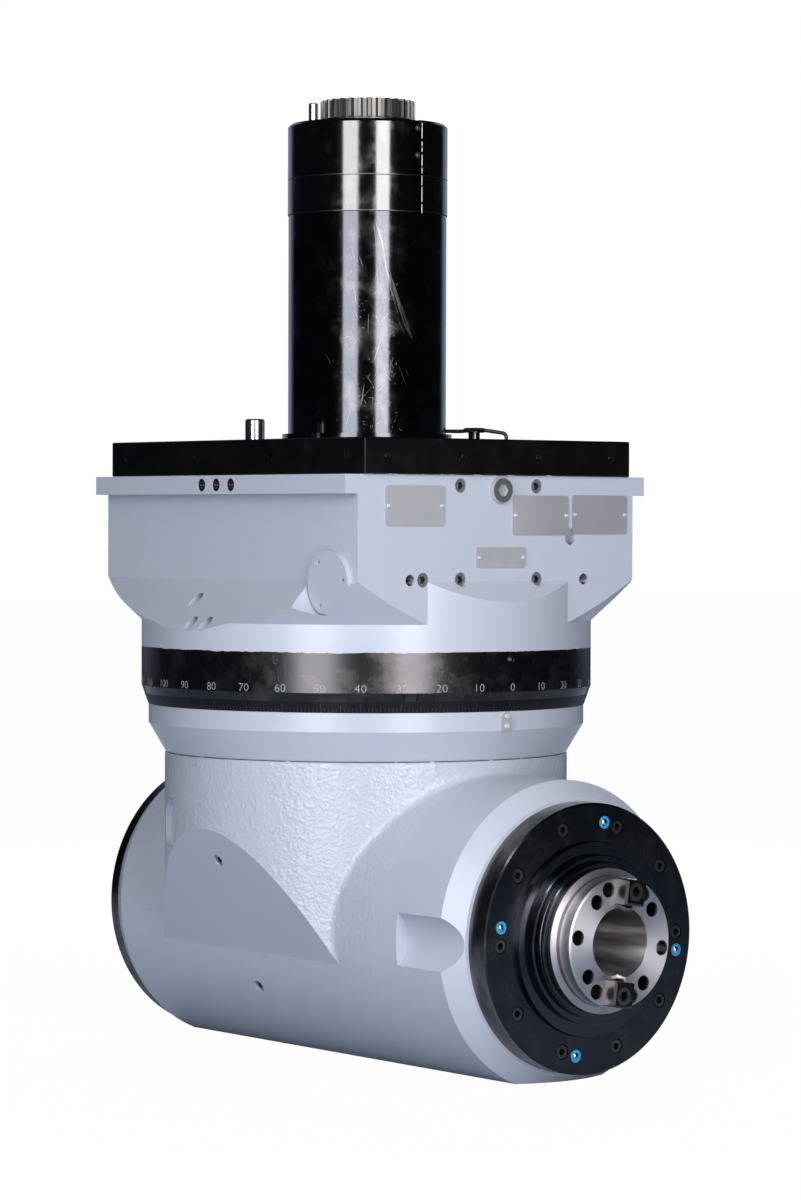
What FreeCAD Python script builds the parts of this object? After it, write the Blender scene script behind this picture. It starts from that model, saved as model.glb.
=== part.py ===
import FreeCAD, Part
import math
import os

# Right-angle milling head. Units are millimetres.
# Origin: middle of the ram interface, on top of the mounting plate, on the swivel axis.
# +Z points up into the machine ram, the spindle nose points to -Y.

V = FreeCAD.Vector
UP = V(0, 0, 1)
DOWN = V(0, 0, -1)
FRONT = V(0, -1, 0)
BACK = V(0, 1, 0)
RIGHT = V(1, 0, 0)

# Fits and play
running_gap = 0.3
swivel_gap = 0.3
ring_gap = 2.0
ball_gap = 0.15
overrun = 1.0
head_play = 0.5
head_sunk = 1.0
screw_sunk = 0.5
plug_sunk = 1.0
roller_play = 3.0
shank_share = 0.6

# Drive column
sleeve_radius = 82.5
column_ring_radius = 83.3
sleeve_bore_radius = 60.0
column_bore_radius = 50.0
sleeve_chamfer = 2.0
sleeve_top_z = 235.7
mid_ring_height = 37.1
top_ring_height = 57.2
top_ring_chamfer = 3.0
base_ring_radius = 88.5
base_ring_height = 8.0
seal_bore_radius = 53.0
seal_height = 14.0
column_dowel_radius = 4.8
column_dowel_rise = 19.0
column_dowel_depth = 20.0
column_dowel_circle = 68.0
column_dowel_angle = 176.2
key_strip_width = 11.0
key_strip_depth = 7.0
key_strip_drop = 97.0
key_strip_screw_radius = 3.0
key_strip_screw_drops = (8.7, 36.5)

# Toothed coupling at the top of the drive shaft
coupling_teeth = 30
coupling_tip_radius = 49.5
coupling_root_radius = 44.6
coupling_dish_depth = 4.0
coupling_hub_radius = 43.0
coupling_tooth_height = 19.0
coupling_lift = 5.4
coupling_hub_depth = 40.0

# Drive shaft and its bearings
shaft_radius = 32.0
shaft_lower_radius = 24.0
shaft_step_z = -250.0
shaft_bearing_width = 25.0
shaft_bearing_inner_thickness = 8.0
shaft_bearing_outer_thickness = 9.0
lower_shaft_bearing_z = 20.0
pinion_bearing_z = -374.0
pinion_bearing_width = 28.0
pinion_inner_thickness = 12.0
pinion_outer_thickness = 12.0
shaft_roller_count = 12
shaft_wall = 6.0

# Mounting plate
plate_side_inset = 6.5
plate_end_overhang = 3.0
plate_thickness = 36.5
plate_chamfer = 1.2
plate_bolt_side_inset = 54.5
plate_bolt_end_insets = (29.0, 109.0)
plate_bolt_radius = 6.0
plate_bolt_head_radius = 9.0
plate_bolt_head_height = 12.0
plate_bolt_depth = 24.0
ram_hole_radius = 7.0
ram_hole_depth = 28.0
ram_hole_side_inset = 22.5
ram_hole_end_inset = 69.0
pin_inset = 27.5
pin_radius = 10.0
pin_rise = 21.5
pin_chamfer = 1.5
pin_shank_radius = 8.0
pin_depth = 20.0
side_screw_radius = 4.2
side_screw_depth = 12.0
side_screw_z = -17.0
side_screw_side_inset = 27.0
side_screw_end_inset = 29.0
side_screw_count = 4

# Connector post with its short lead
post_radius = 6.2
post_rise = 12.5
post_depth = 14.0
post_cap_radius = 11.5
post_cap_height = 5.0
cable_radius = 2.0
gland_radius = 4.5
gland_length = 7.0
gland_lead_share = 0.4
gland_angle = -14.0
gland_z = 12.7
grommet_radius = 4.5
grommet_rise = 3.0
grommet_lip = 2.0
grommet_depth = 10.0
cable_lead_share = 0.38
cable_route = ((0.575, 9.3, 15.5), (0.785, 11.4, 14.0), (1.0, 0.0, 11.0))
grommet_inset = 19.5
grommet_y = -44.0

# Upper housing
housing_width = 358.0
housing_length = 432.0
lip_reach = 15.5
lip_height = 19.0
shoulder_z = -142.5
side_shoulder_slope = 0.91
front_shoulder_slope = 1.09
front_shoulder_reach = 18.5
neck_top_z = -184.7
corner_cone_slope = 0.935
ring_top_z = -212.0
housing_bore_radius = 58.0
housing_cavity_radius = 140.0
housing_cavity_top_z = -68.0
housing_cavity_bottom_z = -192.0

# Scale ring and swivel joint
ring_bottom_z = -272.0
ring_chamfer_z = -252.4
ring_chamfer_drop = 7.0
ring_wall = 12.5
ring_screw_count = 6
ring_screw_radius = 6.0
ring_screw_z = -218.5
ring_screw_depth = 14.0
bearing_recess_wall = 32.0
bearing_recess_depth = 44.0
swivel_outer_ring_thickness = 20.0
swivel_roller_radius = 7.5
swivel_roller_count = 24
swivel_inner_ring_thickness = 18.0
swivel_bearing_height = 30.0
inner_ring_room = 4.0
recess_overlap = 20.0

# Swivelling flange under the scale
band_step = 7.5
band_bottom_z = -291.4
flange_bottom_z = -322.0
joint_groove = 1.5
swivel_spigot_wall = 14.0
pointer_width = 12.0
pointer_height = 19.0
pointer_thickness = 3.0
pointer_screw_radius = 2.4
pointer_screw_height = 1.4
pointer_screw_depth = 8.0
pointer_backing = 2.0

# Lower housing casting
flange_taper_drop = 17.0
spindle_z = -489.4
barrel_radius = 153.0
barrel_front_reach = 102.0
barrel_back_reach = 34.7
back_chamfer_length = 15.7
back_chamfer_drop = 7.0
front_chamfer_length = 20.0
front_chamfer_drop = 16.0
base_flat_depth = 10.7
neck_overlap = 60.0
neck_past_barrel = 22.0
side_plane_tilt = 25.3
side_plane_inset = 3.8
casting_fillet = 9.0
shaft_bore_radius = 60.0
gear_cavity_radius = 98.0
shaft_well_inset = 10.0
shaft_well_rise = 30.0
front_recess_step = 12.0
rear_bore_step = 4.0
gear_cavity_front_y = -112.0
gear_cavity_back_y = 78.0
scallop_radius = 32.0
scallop_depth = 15.6
scallop_length = 67.0
spot_radius = 26.0
spot_depth = 7.0
spot_z = -393.0
spot_angle = 111.5
side_plug_radius = 6.4
side_plug_depth = 12.0
side_plug_overrun = 6.0
side_plug_high = (-6.4, -427.4)
side_plug_low_y = 3.0
side_plug_low_angle = 27.5

# Rear cover
rear_cover_inset = 6.6
rear_cover_thickness = 14.0
rear_cover_chamfer = 1.5
rear_cover_bolt_inset = 24.4
rear_cover_bolt_count = 8
rear_cover_bolt_radius = 5.0
rear_cover_head_radius = 8.0
rear_cover_head_height = 8.0

# Front flange with ball nozzles
flange_radius = 133.0
flange_thickness = 24.8
flange_edge_chamfer = 1.5
flange_screw_count = 10
flange_screw_circle = 113.3
flange_screw_radius = 4.0
flange_screw_head_radius = 6.5
flange_screw_head_height = 8.0
flange_screw_pocket_gap = 1.0
nozzle_count = 4
nozzle_circle = 114.5
nozzle_angle = -9.0
nozzle_ring_radius = 6.25
nozzle_ring_proud = 0.5
nozzle_pocket_depth = 10.0
nozzle_ball_radius = 4.6
nozzle_ball_sink = 2.6
nozzle_bore_radius = 1.1
boss_radius = 96.0
boss_height = 5.0
hub_radius = 83.0
hub_chamfer = 1.0
hub_step_height = 7.0
hub_tip_radius = 76.5
hub_height = 14.2
hub_groove = 2.0
hub_screw_radius = 3.0
hub_screw_count = 6
hub_screw_angle = 20.0
hub_screw_depth = 8.0
hub_inner_step = 70.0

# Spindle, to the 50 size of the steep-taper nose
nose_radius = 64.285
nose_length = 20.0
nose_chamfer = 1.5
collar_radius = 71.0
collar_length = 5.0
taper_gauge_radius = 34.925
taper_length = 101.8
taper_per_side = 7.0 / 48.0
spindle_rest_turn = 8.6
spindle_seal_radius = 62.0
bearing_seat_radius = 50.0
spindle_rear_radius = 34.0
spindle_step = 4.0
drawbar_bore_radius = 18.5
drawbar_guide_radius = 12.6
gripper_room_length = 161.3
nose_hole_circle = 50.8
nose_hole_radius = 7.4
nose_hole_depth = 30.0
deep_hole_circle = 54.5
deep_hole_radius = 7.5
deep_hole_depth = 16.0
key_width = 25.4
key_inner_radius = 37.0
key_proud = 15.5
key_rim_drop = 2.0
key_slot_depth = 12.5
key_chamfer = 2.0
key_screw_radius = 6.0
key_screw_head_radius = 9.0
key_screw_head_height = 10.0
key_screw_length = 12.0
key_screw_circle = 50.6

# Spindle bearings
front_bearing_room = 70.0
inner_ring_thickness = 11.0
roller_radius = 6.0
front_roller_count = 18
outer_ring_thickness = 16.0
rear_bearing_inset = 114.7
rear_bearing_width = 26.0
rear_inner_thickness = 10.0
rear_roller_radius = 5.0
rear_roller_count = 14
rear_outer_thickness = 13.0
spindle_nut_width = 14.0
spindle_nut_radius = 46.0
nut_notch = 4.0
spindle_back_inset = 39.7

# Bevel gear pair, equal teeth
gear_teeth = 24
gear_pitch_radius = 72.0
gear_face = 24.0
gear_addendum = 4.6
gear_dedendum = 6.2
gear_space_half_angle = 4.35
gear_tip_half_angle = 6.0
gear_root_half_angle = 2.6
gear_back = 18.0
gear_hub_radius = 48.0
gear_hub_step = 6.0
gear_root_share = 1.6
gear_cutter_share = 1.25
gear_hub_back = 100.0
pinion_hub_back = 112.0

# Drawbar
drawbar_radius = 12.0
drawbar_setback = 105.3
drawbar_proud = 3.0
drawbar_head_radius = 17.5
drawbar_head_length = 12.0
drawbar_chamfer = 2.0
gripper_radius = 17.0
gripper_length = 34.0
gripper_setback = 4.0
gripper_slot_length = 26.0
gripper_slot = 3.0
spring_count = 14
spring_pitch = 4.1
spring_thickness = 2.2
spring_cup = 1.6
spring_radius = 17.5
spring_hole_radius = 12.6
spring_cover = 9.0

# Side covers, plugs and plates on the upper housing
cover_radius = 32.0
cover_thickness = 6.0
cover_end_inset = 41.0
cover_z = -143.3
cover_pocket_radius = 34.0
cover_pocket_draft = 0.15
cover_screw_circle = 25.0
cover_screw_radius = 3.2
cover_screw_depth = 9.0
cover_screw_angles = (55.0, 173.0, 297.0)
plug_radius = 7.3
open_hole_radius = 5.7
plug_depth = 14.0
plug_inset = 1.2
plug_shares = ((-0.2765, -46.8), (0.2765, -46.8), (-0.543, -140.5), (-0.2765, -140.5),
               (0.2793, -140.5))
open_hole_shares = ((-0.6341, -140.7), (0.6285, -140.7))
open_hole_depth = 30.0
oil_plug_share = 0.0084
oil_plug_z = -51.0
oil_plug_radius = 11.8
oil_ring_radius = 13.5
oil_ring_height = 1.6
oil_plug_head = 4.0
oil_plug_depth = 16.0
oblique_share = 0.5251
oblique_top_z = -97.0
oblique_radius = 6.8
oblique_length = 34.0
oblique_overrun = 10.0
oblique_plug_length = 10.0
lip_plug_radius = 6.6
lip_plug_depth = 12.0
lip_plug_ys = (-25.8, -0.7, 24.4)
lip_plug_z = -46.2
shoulder_hole_radius = 7.0
shoulder_hole_places = ((23.7, -163.0), (-3.0, -186.0), (-28.0, -186.0))
shoulder_hole_reach = 38.0
shoulder_plug_length = 9.0
sign_thickness = 1.0
sign_round = 4.0
sign_shares = (
    (-0.8117, -0.3933, -87.1, -47.0),
    (0.0966, 0.5101, -95.9, -56.0),
    (0.5363, 0.9525, -94.9, -55.3),
    (-0.1676, 0.1922, -128.6, -108.2),
)
rivet_radius = 1.6
rivet_height = 1.6
rivet_depth = 5.0
rivet_inset = 3.6

# Sizes that follow from the ones above
mid_ring_top_z = sleeve_top_z + mid_ring_height
column_top_z = mid_ring_top_z + top_ring_height
housing_top_z = -plate_thickness
lip_bottom_z = housing_top_z - lip_height
half_width = housing_width / 2
half_length = housing_length / 2
half_lip = half_width + lip_reach
plate_width = housing_width - 2 * plate_side_inset
plate_length = housing_length + 2 * plate_end_overhang
plate_bolt_x = plate_width / 2 - plate_bolt_side_inset
ram_hole_x = plate_width / 2 - ram_hole_side_inset
ram_hole_y = plate_length / 2 - ram_hole_end_inset
pin_x = plate_width / 2 - pin_inset
grommet_x = plate_width / 2 - grommet_inset
side_screw_span_x = plate_width - 2 * side_screw_side_inset
side_screw_span_y = plate_length - 2 * side_screw_end_inset
cover_y = cover_end_inset - half_length
oil_plug_x = oil_plug_share * half_width
oblique_x = oblique_share * half_width
plug_places = [(share * half_width, z) for share, z in plug_shares]
open_hole_places = [(share * half_width, z) for share, z in open_hole_shares]
sign_boxes = [(left * half_width, right * half_width, bottom, top)
              for left, right, bottom, top in sign_shares]
neck_radius = half_length + front_shoulder_reach
ring_chamfer_radius = neck_radius - ring_chamfer_drop
ring_seat_radius = neck_radius - ring_wall
bearing_recess_radius = ring_seat_radius - bearing_recess_wall
band_radius = neck_radius - band_step
casting_neck_radius = band_radius - flange_taper_drop
coupling_bottom_z = column_top_z + coupling_lift
coupling_top_z = coupling_bottom_z + coupling_tooth_height
barrel_front_y = -casting_neck_radius - barrel_front_reach
barrel_back_y = casting_neck_radius + barrel_back_reach
base_z = spindle_z - barrel_radius + base_flat_depth
neck_depth = barrel_radius + neck_past_barrel
side_plane_distance = barrel_radius - side_plane_inset
scallop_back_y = barrel_front_y + scallop_length
rear_cover_radius = barrel_radius - rear_cover_inset
rear_cover_bolt_circle = rear_cover_radius - rear_cover_bolt_inset
flange_back_y = barrel_front_y - front_chamfer_length
flange_front_y = flange_back_y - flange_thickness
boss_front_y = flange_front_y - boss_height
hub_front_y = boss_front_y - hub_height
collar_back_y = hub_front_y - running_gap
collar_front_y = collar_back_y - collar_length
nose_y = collar_front_y - nose_length
gripper_room_back_y = nose_y + gripper_room_length
drawbar_front_y = nose_y + drawbar_setback
front_bearing_back_y = flange_back_y + front_bearing_room
front_bearing_front_y = flange_back_y + running_gap
front_bearing_width = (front_bearing_back_y - front_bearing_front_y) / 2
rear_bearing_y = barrel_back_y - rear_bearing_inset
spindle_back_y = barrel_back_y - spindle_back_inset
spring_back_y = spindle_back_y - spring_cover
drawbar_back_y = spindle_back_y + drawbar_proud
front_inner_radius = bearing_seat_radius + inner_ring_thickness
front_roller_circle = front_inner_radius + roller_radius
front_outer_inside = front_roller_circle + roller_radius + running_gap
front_outer_radius = front_outer_inside + outer_ring_thickness
rear_inner_radius = spindle_rear_radius + rear_inner_thickness
rear_roller_circle = rear_inner_radius + rear_roller_radius
rear_outer_inside = rear_roller_circle + rear_roller_radius + running_gap
rear_outer_radius = rear_outer_inside + rear_outer_thickness
swivel_top_z = ring_bottom_z - swivel_gap
swivel_ring_top_z = ring_bottom_z + bearing_recess_depth
outer_ring_inside = bearing_recess_radius - swivel_outer_ring_thickness
swivel_roller_circle = outer_ring_inside - running_gap - swivel_roller_radius
inner_ring_outside = swivel_roller_circle - swivel_roller_radius
inner_ring_inside = inner_ring_outside - swivel_inner_ring_thickness
swivel_bearing_bottom_z = swivel_ring_top_z - swivel_bearing_height
spring_front_y = spring_back_y - spring_count * spring_pitch


def cylinder(radius, length, base, direction):
    return Part.makeCylinder(radius, length, base, direction)


def tube(outer, inner, length, base, direction):
    return cylinder(outer, length, base, direction).cut(cylinder(inner, length, base, direction))


def block(x0, x1, y0, y1, z0, z1):
    return Part.makeBox(x1 - x0, y1 - y0, z1 - z0, V(x0, y0, z0))


def polygon_face(points):
    return Part.Face(Part.makePolygon(points + [points[0]]))


def turned_z(profile):
    """Solid turned about the swivel axis from (radius, z) points."""
    face = polygon_face([V(r, 0, z) for r, z in profile])
    return face.revolve(V(0, 0, 0), UP, 360)


def turned_y(profile):
    """Solid turned about the spindle axis from (radius, y) points."""
    face = polygon_face([V(r, y, spindle_z) for r, y in profile])
    return face.revolve(V(0, 0, spindle_z), BACK, 360)


def on_spindle(radius, degrees, y):
    """Point round the spindle axis, the angle from +X towards +Z."""
    angle = math.radians(degrees)
    return V(radius * math.cos(angle), y, spindle_z + radius * math.sin(angle))


def on_swivel(radius, degrees, z):
    """Point round the swivel axis, the angle from the front towards +X."""
    angle = math.radians(degrees)
    return V(radius * math.sin(angle), -radius * math.cos(angle), z)


def spun(shape, degrees):
    """Turned about the spindle axis, from +X towards +Z."""
    copy = shape.copy()
    copy.rotate(V(0, 0, spindle_z), FRONT, degrees)
    return copy


def joined(shapes):
    result = shapes[0]
    for shape in shapes[1:]:
        result = result.fuse(shape)
    return result.removeSplitter()


def without(shape, cutters):
    return shape.cut(Part.makeCompound(cutters))


def hex_socket(across, depth, top, direction):
    """Prism for a hexagon socket that sinks from top against direction."""
    side = across / math.sqrt(3)
    points = []
    for corner in range(6):
        angle = math.radians(60 * corner)
        points.append(V(side * math.cos(angle), side * math.sin(angle), 0))
    prism = polygon_face(points).extrude(V(0, 0, -depth))
    turn = FreeCAD.Rotation(UP, direction)
    prism.Placement = FreeCAD.Placement(top, turn)
    return prism


def cap_screw(radius, length, head_radius, head_height, seat, direction):
    """Socket cap screw whose head stands from seat along direction."""
    head = cylinder(head_radius, head_height, seat, direction)
    shank = cylinder(radius, length, seat - direction * length, direction)
    top = seat + direction * head_height
    return head.fuse(shank).cut(hex_socket(head_radius, head_height / 2, top, direction))


def set_screw(radius, length, top, direction):
    """Headless screw whose end is level with top."""
    body = cylinder(radius, length, top - direction * length, direction)
    return body.cut(hex_socket(radius, radius, top, direction))


parts = {}


# Drive column: sleeve, two rings, base ring, dowel and key strip

def key_strip_box(gap):
    half = key_strip_width / 2 + gap
    bottom = column_top_z - key_strip_drop - gap
    depth = column_ring_radius - key_strip_depth
    return block(-half, half, -column_ring_radius - overrun, -depth + gap, bottom, column_top_z + overrun)


def column_dowel_place(z):
    angle = math.radians(column_dowel_angle)
    return V(column_dowel_circle * math.cos(angle), column_dowel_circle * math.sin(angle), z)


def key_strip_screw_places():
    return [V(0, -column_ring_radius, column_top_z - drop) for drop in key_strip_screw_drops]


def make_column():
    lower_seat_z = lower_shaft_bearing_z
    sleeve = turned_z([
        (column_bore_radius + sleeve_chamfer, housing_top_z), (sleeve_radius, housing_top_z),
        (sleeve_radius, sleeve_top_z), (sleeve_bore_radius, sleeve_top_z),
        (sleeve_bore_radius, lower_seat_z), (column_bore_radius + sleeve_chamfer, lower_seat_z),
    ])
    mid_ring = tube(column_ring_radius, column_bore_radius, mid_ring_height, V(0, 0, sleeve_top_z), UP)
    seal_floor = column_top_z - seal_height
    top_ring = turned_z([
        (column_bore_radius, mid_ring_top_z), (column_ring_radius, mid_ring_top_z),
        (column_ring_radius, column_top_z - top_ring_chamfer),
        (column_ring_radius - top_ring_chamfer, column_top_z),
        (seal_bore_radius, column_top_z), (seal_bore_radius, seal_floor),
        (column_bore_radius, seal_floor),
    ])
    strip_slot = key_strip_box(0)
    dowel_depth_z = column_top_z - column_dowel_depth
    dowel_hole = cylinder(column_dowel_radius, column_dowel_depth, column_dowel_place(dowel_depth_z), UP)
    screw_holes = [cylinder(key_strip_screw_radius, key_strip_depth * 2, place, BACK)
                   for place in key_strip_screw_places()]
    parts["column_sleeve"] = sleeve.cut(strip_slot)
    parts["column_mid_ring"] = mid_ring.cut(strip_slot)
    parts["column_top_ring"] = without(top_ring, [strip_slot, dowel_hole] + screw_holes)
    parts["column_base_ring"] = tube(base_ring_radius, sleeve_radius, base_ring_height, V(0, 0, 0), UP)
    dowel_length = column_dowel_depth + column_dowel_rise
    dowel = cylinder(column_dowel_radius, dowel_length, column_dowel_place(dowel_depth_z), UP)
    parts["column_dowel"] = dowel.makeChamfer(1, [dowel.Edges[0]])
    rim = cylinder(column_ring_radius, key_strip_drop - top_ring_chamfer,
                   V(0, 0, column_top_z - key_strip_drop), UP)
    strip = strip_slot.common(rim)
    parts["column_key_strip"] = without(strip, screw_holes)
    parts["key_strip_screws"] = Part.makeCompound([
        set_screw(key_strip_screw_radius, key_strip_depth * 2 - 1, place + BACK * 0.4, FRONT)
        for place in key_strip_screw_places()])
    parts["shaft_seal"] = tube(seal_bore_radius, coupling_hub_radius + running_gap, seal_height - overrun,
                               V(0, 0, seal_floor), UP)


# Shaft bearings in the column

def shaft_bearing_levels():
    return (lower_shaft_bearing_z, sleeve_top_z - shaft_bearing_width)


def shaft_bearing(outside, outer_in, inner_out, inside, width, level):
    """Outer ring, then the inner ring and rollers of one bearing on the drive shaft."""
    base = V(0, 0, level)
    outer = tube(outside, outer_in, width, base, UP)
    inner = [tube(inner_out, inside, width, base, UP)]
    circle = (outer_in + inner_out - running_gap) / 2
    roller = (outer_in - inner_out - running_gap) / 2
    for index in range(shaft_roller_count):
        place = on_swivel(circle, index * 360.0 / shaft_roller_count, level + roller_play)
        inner.append(cylinder(roller, width - 2 * roller_play, place, UP))
    return outer, inner


def make_shaft_bearings():
    outer_in = sleeve_bore_radius - shaft_bearing_outer_thickness
    inner_out = shaft_radius + shaft_bearing_inner_thickness
    outers = []
    inners = []
    for level in shaft_bearing_levels():
        outer, inner = shaft_bearing(sleeve_bore_radius, outer_in, inner_out, shaft_radius,
                                     shaft_bearing_width, level)
        outers.append(outer)
        inners += inner
    outer, inner = shaft_bearing(shaft_bore_radius, shaft_bore_radius - pinion_outer_thickness,
                                 shaft_lower_radius + pinion_inner_thickness, shaft_lower_radius,
                                 pinion_bearing_width, pinion_bearing_z)
    parts["column_bearing_rings"] = Part.makeCompound(outers)
    parts["pinion_bearing_ring"] = outer
    parts["shaft_bearing_rings"] = Part.makeCompound(inners + inner)


# Coupling gear and drive shaft

def tooth_outline(teeth, root, tip, z):
    """Closed outline of straight-flanked teeth with flat tips and roots."""
    pitch = 360.0 / teeth
    points = []
    for index in range(teeth):
        middle = index * pitch
        for offset, radius in ((-0.30, root), (-0.14, tip), (0.14, tip), (0.30, root)):
            points.append(on_swivel(radius, middle + offset * pitch, z))
    return points


def make_drive_shaft():
    ring = polygon_face(tooth_outline(coupling_teeth, coupling_root_radius, coupling_tip_radius,
                                      coupling_bottom_z)).extrude(V(0, 0, coupling_tooth_height))
    tip_cone = Part.makeCone(coupling_tip_radius + coupling_tooth_height, coupling_tip_radius - overrun,
                             coupling_tooth_height + overrun, V(0, 0, coupling_bottom_z), UP)
    hub_bottom = coupling_bottom_z - coupling_hub_depth
    hub = cylinder(coupling_hub_radius, coupling_hub_depth, V(0, 0, hub_bottom), UP)
    bore_length = coupling_tooth_height + coupling_hub_depth
    bore = cylinder(shaft_radius - shaft_wall, bore_length, V(0, 0, hub_bottom), UP)
    dish = cylinder(coupling_root_radius - shaft_wall, coupling_dish_depth,
                    V(0, 0, coupling_top_z - coupling_dish_depth), UP)
    parts["coupling_gear"] = without(joined([ring.common(tip_cone), hub]), [bore, dish])
    shaft_end_z = spindle_z + pinion_seat_height()
    shaft = turned_z([
        (0, shaft_end_z), (shaft_lower_radius, shaft_end_z), (shaft_lower_radius, shaft_step_z),
        (shaft_radius, shaft_step_z), (shaft_radius, hub_bottom), (shaft_radius - shaft_wall, hub_bottom),
        (shaft_radius - shaft_wall, coupling_top_z - shaft_wall), (0, coupling_top_z - shaft_wall),
    ])
    parts["drive_shaft"] = shaft


# Bevel gear pair: one gear is made on the +Z side of the crossing point, then turned

def pinion_seat_height():
    return gear_pitch_radius - gear_face


def gear_blank(hub_back, bore):
    """Blank of a mitre gear whose cone point is the origin and whose back faces +Z."""
    half = math.sqrt(0.5)
    outer = gear_pitch_radius
    inner = gear_pitch_radius - gear_face * half
    scale = inner / outer
    tip = (outer + gear_addendum * half, outer - gear_addendum * half)
    root = (outer - gear_dedendum * half * gear_root_share, outer + gear_dedendum * half * gear_root_share)
    tip_inner = (tip[0] * scale, tip[1] * scale)
    floor = tip_inner[1] + 1.0
    return Part.Face(Part.makePolygon([
        V(bore, 0, floor), V(tip_inner[0] - gear_dedendum, 0, floor), V(tip_inner[0], 0, tip_inner[1]),
        V(tip[0], 0, tip[1]), V(root[0], 0, root[1]),
        V(gear_hub_radius + gear_hub_step, 0, outer + gear_back),
        V(gear_hub_radius, 0, outer + gear_back), V(gear_hub_radius, 0, hub_back),
        V(bore, 0, hub_back), V(bore, 0, floor),
    ])).revolve(V(0, 0, 0), UP, 360)


def tooth_space(reach, index, phase):
    """One tapering space between teeth, drawn from the cone point outwards."""
    half = math.sqrt(0.5)

    def section(size):
        outer = gear_pitch_radius * size
        tip = gear_addendum * gear_cutter_share * size
        root = gear_dedendum * size
        rows = (
            (outer + tip * half, outer - tip * half, gear_tip_half_angle),
            (outer, outer, gear_space_half_angle),
            (outer - root * half, outer + root * half, gear_root_half_angle),
        )
        right = [V(r * math.cos(math.radians(a)), r * math.sin(math.radians(a)), z) for r, z, a in rows]
        left = [V(r * math.cos(math.radians(a)), -r * math.sin(math.radians(a)), z) for r, z, a in rows]
        return Part.makePolygon(right + left[::-1] + [right[0]])

    space = Part.makeLoft([section(reach[0]), section(reach[1])], True, True)
    space.rotate(V(0, 0, 0), UP, phase + index * 360.0 / gear_teeth)
    return space


def mitre_gear(hub_back, bore, phase):
    inner = (gear_pitch_radius - gear_face) / gear_pitch_radius * 0.8
    spaces = [tooth_space((inner, 1.25), index, phase) for index in range(gear_teeth)]
    return without(gear_blank(hub_back, bore), spaces)


def make_bevel_gears():
    half_pitch = 180.0 / gear_teeth
    pinion = mitre_gear(pinion_hub_back, shaft_lower_radius, 0)
    pinion.translate(V(0, 0, spindle_z))
    parts["bevel_pinion"] = pinion
    gear = mitre_gear(gear_hub_back, spindle_rear_radius, half_pitch)
    gear.rotate(V(0, 0, 0), RIGHT, 90)
    gear.translate(V(0, 0, spindle_z))
    parts["bevel_gear"] = gear


# Mounting plate with its screws, locating pin and connector

def plate_bolt_places():
    return [V(sx * plate_bolt_x, sy * (plate_length / 2 - inset), -plate_bolt_head_height)
            for sx in (-1, 1) for sy in (-1, 1) for inset in plate_bolt_end_insets]


def ram_hole_places():
    return [V(sx * ram_hole_x, sy * ram_hole_y, -ram_hole_depth) for sx in (-1, 1) for sy in (-1, 1)]


def side_screw_places():
    """Places and outward directions of the small screws round the plate's edge."""
    places = []
    z = side_screw_z
    for index in range(side_screw_count):
        share = index / (side_screw_count - 1) - 0.5
        for sign in (-1, 1):
            places.append((V(share * side_screw_span_x, sign * plate_length / 2, z), V(0, sign, 0)))
            places.append((V(sign * plate_width / 2, share * side_screw_span_y, z), V(sign, 0, 0)))
    return places


def gland_frame():
    angle = math.radians(gland_angle)
    direction = V(math.cos(angle), math.sin(angle), 0)
    return direction * sleeve_radius + V(0, 0, gland_z), direction


def make_mounting_plate():
    plate = block(-plate_width / 2, plate_width / 2, -plate_length / 2, plate_length / 2,
                  -plate_thickness, 0)
    plate = plate.makeChamfer(plate_chamfer, plate.Edges)
    cutters = [cylinder(sleeve_radius, plate_thickness, V(0, 0, -plate_thickness), UP)]
    for place in plate_bolt_places():
        cutters.append(cylinder(plate_bolt_head_radius + head_play, plate_bolt_head_height, place, UP))
        cutters.append(cylinder(plate_bolt_radius, plate_thickness, place, DOWN))
    for place in ram_hole_places():
        cutters.append(cylinder(ram_hole_radius, ram_hole_depth, place, UP))
    cutters.append(cylinder(pin_shank_radius, pin_depth, V(-pin_x, 0, -pin_depth), UP))
    cutters.append(cylinder(post_radius, post_depth, V(pin_x, 0, -post_depth), UP))
    cutters.append(cylinder(grommet_radius, grommet_depth, V(grommet_x, grommet_y, -grommet_depth), UP))
    for place, direction in side_screw_places():
        cutters.append(cylinder(side_screw_radius, side_screw_depth, place - direction * side_screw_depth,
                                direction))
    parts["mounting_plate"] = without(plate, cutters)
    head_drop = 1.0
    screws = [
        cap_screw(plate_bolt_radius, plate_bolt_depth + plate_thickness - plate_bolt_head_height,
                  plate_bolt_head_radius, plate_bolt_head_height - head_drop, place, UP)
        for place in plate_bolt_places()]
    screws += [
        set_screw(side_screw_radius, side_screw_depth - screw_sunk,
                  place - direction * screw_sunk, direction)
        for place, direction in side_screw_places()]
    parts["plate_screws"] = Part.makeCompound(screws)
    pin = cylinder(pin_radius, pin_rise, V(-pin_x, 0, 0), UP)
    pin = pin.makeChamfer(pin_chamfer, [pin.Edges[0]])
    shank = cylinder(pin_shank_radius, pin_depth, V(-pin_x, 0, -pin_depth), UP)
    parts["locating_pin"] = pin.fuse(shank)


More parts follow.
